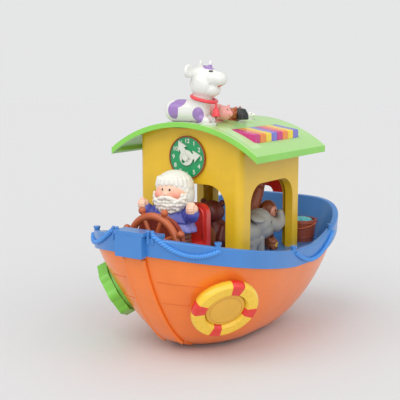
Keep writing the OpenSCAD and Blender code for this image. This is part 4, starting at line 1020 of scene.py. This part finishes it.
for quarter in range(4):
    bands = bmesh.new()
    rows = []
    middle = math.radians(90 * quarter + BAND_START)
    for k in range(13):
        turn = Matrix.Rotation(middle + math.radians(BAND_HALF) * (k - 6) / 6, 3, "Z")
        lift = BAND_EDGE if k in (0, 12) else BAND_LIFT
        section = [ring_profile(math.radians(-50 + 280 * j / 36), lift) for j in range(37)]
        rows.append([bands.verts.new(ring_frame @ (turn @ p)) for p in section])
    for here, there in zip(rows, rows[1:]):
        for j in range(36):
            bands.faces.new((here[j], here[j + 1], there[j + 1], there[j]))
    finish_mesh("ring_band", bands, glossy_red, "hull")

# Painted shade: a darker gold line round the disc, standing for the shade in the groove.
groove = [ring_frame @ Vector((GROOVE_R * math.cos(t), GROOVE_R * math.sin(t), GROOVE_Z)) for t in turns(48)]
bar("disc_groove", groove, 0.35, plastic("disc line shade", (0.78, 0.56, 0.15), 0.4), "ring_button", closed=True)


# Chair border, bucket hoops and bail, bucket contents

BORDER_Y = -62.3
BORDER_HALF = 23
BORDER_LOW = 130
BORDER_HIGH = 159
CORNER_R = 6.5

border = [Vector((BORDER_HALF, BORDER_Y, BORDER_LOW))]
for side, start in ((1, 0), (-1, 90)):
    corner = Vector((side * (BORDER_HALF - CORNER_R), BORDER_Y, BORDER_HIGH))
    for k in range(9):
        t = math.radians(start + 90 * k / 8)
        border.append(corner + CORNER_R * Vector((math.cos(t), 0, math.sin(t))))
border.append(Vector((-BORDER_HALF, BORDER_Y, BORDER_LOW)))
bar("chair_border", border, 1.3, chair_red_lit, "hull", 12)


def on_bucket(r, t, z):
    return BUCKET + Vector((r * math.cos(t), r * math.sin(t), z))


hoops = bmesh.new()
for z, r in ((6, 15.95), (17, 17.5)):
    sweep(hoops, [on_bucket(r, t, z) for t in turns(64)], 0.55, 8, True)
for t in turns(18):
    sweep(hoops, [on_bucket(15.15, t, 0.8), on_bucket(18.3, t, 23.5)], 0.3, 6)
finish_mesh("bucket_hoops", hoops, bucket_brown, "hull")
bail = [BUCKET + Vector((20.4 * math.cos(t), -20.4 * math.sin(t), 25 - 7 * math.sin(t)))
    for t in [math.pi * k / 40 for k in range(41)]]
bar("bucket_bail", bail, 0.7, wood_brown, "hull")
heap = egg((0, 0, 23), (13, 13, 5))
for k in range(40):
    r, t = 11.4 * math.sqrt((k + 0.5) / 40), 2.4 * k
    heap += egg((r * math.cos(t), r * math.sin(t), 28.6 - 0.018 * r * r), 2.3)
moulded("bucket_contents", heap, BUCKET, teal, "hull", 0.5, 3)


# Roof panel, key fronts

PANEL_X = 44
PANEL_W = 46
PANEL_Y = -66
PANEL_L = 22

panel = bmesh.new()
for sheet in (0.12, -0.3):
    rows = []
    for i in range(13):
        x = PANEL_X + PANEL_W * i / 12
        rows.append([panel.verts.new((x, PANEL_Y + PANEL_L * j / 6, roof_top(x) + sheet)) for j in range(7)])
    for here, there in zip(rows, rows[1:]):
        for j in range(6):
            panel.faces.new((here[j], here[j + 1], there[j + 1], there[j]))
finish_mesh("roof_panel", panel, panel_green, "hull")

KEYS = 8
KEY_MID = 4.5
KEY_PITCH = 13.1
KEY_SLOPE = 9.7
KEY_FRONT = (9.4, 11.6, 2.6)

for i in range(KEYS):
    y = KEY_MID + (i - (KEYS - 1) / 2) * KEY_PITCH
    front = bmesh.new()
    place = Matrix.Translation((76.4, y, 251.1)) @ Matrix.Rotation(math.radians(KEY_SLOPE), 4, "Y")
    bmesh.ops.create_cube(front, size=1, matrix=place @ Matrix.Diagonal((*KEY_FRONT, 1)))
    bmesh.ops.bevel(front, geom=front.edges[:], offset=0.9, segments=4, profile=0.6, affect="EDGES")
    finish_mesh("key_front", front, key_plastics[i % 4], f"key_{i + 1}")


# Floor, light and camera

def stage_shade(name, shade):
    mat = plastic(name, shade, 0.85, drift=0.003, grain=0.01, sheen=0)
    mat.node_tree.nodes["Principled BSDF"].inputs["Specular IOR Level"].default_value = 0
    return mat


FLOOR_SIZE = 12
EYE = Vector((0.5531, -0.8591, 0.3255))
AIM = Vector((0.00005, -0.034, 0.170))

bpy.ops.mesh.primitive_plane_add(size=FLOOR_SIZE, location=(0, 0, 0))
floor = bpy.context.object
floor.data.materials.append(stage_shade("floor", (0.855, 0.855, 0.859)))

world = bpy.data.worlds.new("studio")
world.use_nodes = True
tree = world.node_tree
seen = tree.nodes.new("ShaderNodeBackground")
seen.inputs["Color"].default_value = linear((0.900, 0.901, 0.904))
seen.inputs["Strength"].default_value = 1
fill = tree.nodes["Background"]
fill.inputs["Color"].default_value = (1, 1, 1, 1)
fill.inputs["Strength"].default_value = 0.6
rays = tree.nodes.new("ShaderNodeLightPath")
blend = tree.nodes.new("ShaderNodeMixShader")
tree.links.new(rays.outputs["Is Camera Ray"], blend.inputs["Fac"])
tree.links.new(fill.outputs[0], blend.inputs[1])
tree.links.new(seen.outputs[0], blend.inputs[2])
tree.links.new(blend.outputs[0], tree.nodes["World Output"].inputs["Surface"])
scene.world = world


def soft_light(name, place, strength, spread_angle):
    """A wide, even light from far away, as from a large diffuser."""
    data = bpy.data.lights.new(name, "SUN")
    data.energy = strength
    data.angle = math.radians(spread_angle)
    lamp = bpy.data.objects.new(name, data)
    lamp.location = place
    lamp.rotation_euler = (-Vector(place)).to_track_quat("-Z", "Y").to_euler()
    scene.collection.objects.link(lamp)


soft_light("key light", (-0.35, -1.0, 1.25), 0.95, 50)
soft_light("side light", (1.5, -0.2, 1.0), 0.55, 60)
soft_light("top light", (0, 0.2, 1.7), 0.3, 70)
soft_light("front light", (0.55, -0.9, 0.5), 0.75, 60)

lens = bpy.data.cameras.new("camera")
lens.lens = 76.5
lens.sensor_width = 36
camera = bpy.data.objects.new("camera", lens)
camera.location = EYE
camera.rotation_euler = (AIM - EYE).to_track_quat("-Z", "Y").to_euler()
scene.collection.objects.link(camera)
scene.camera = camera
scene.view_settings.view_transform = "Standard"
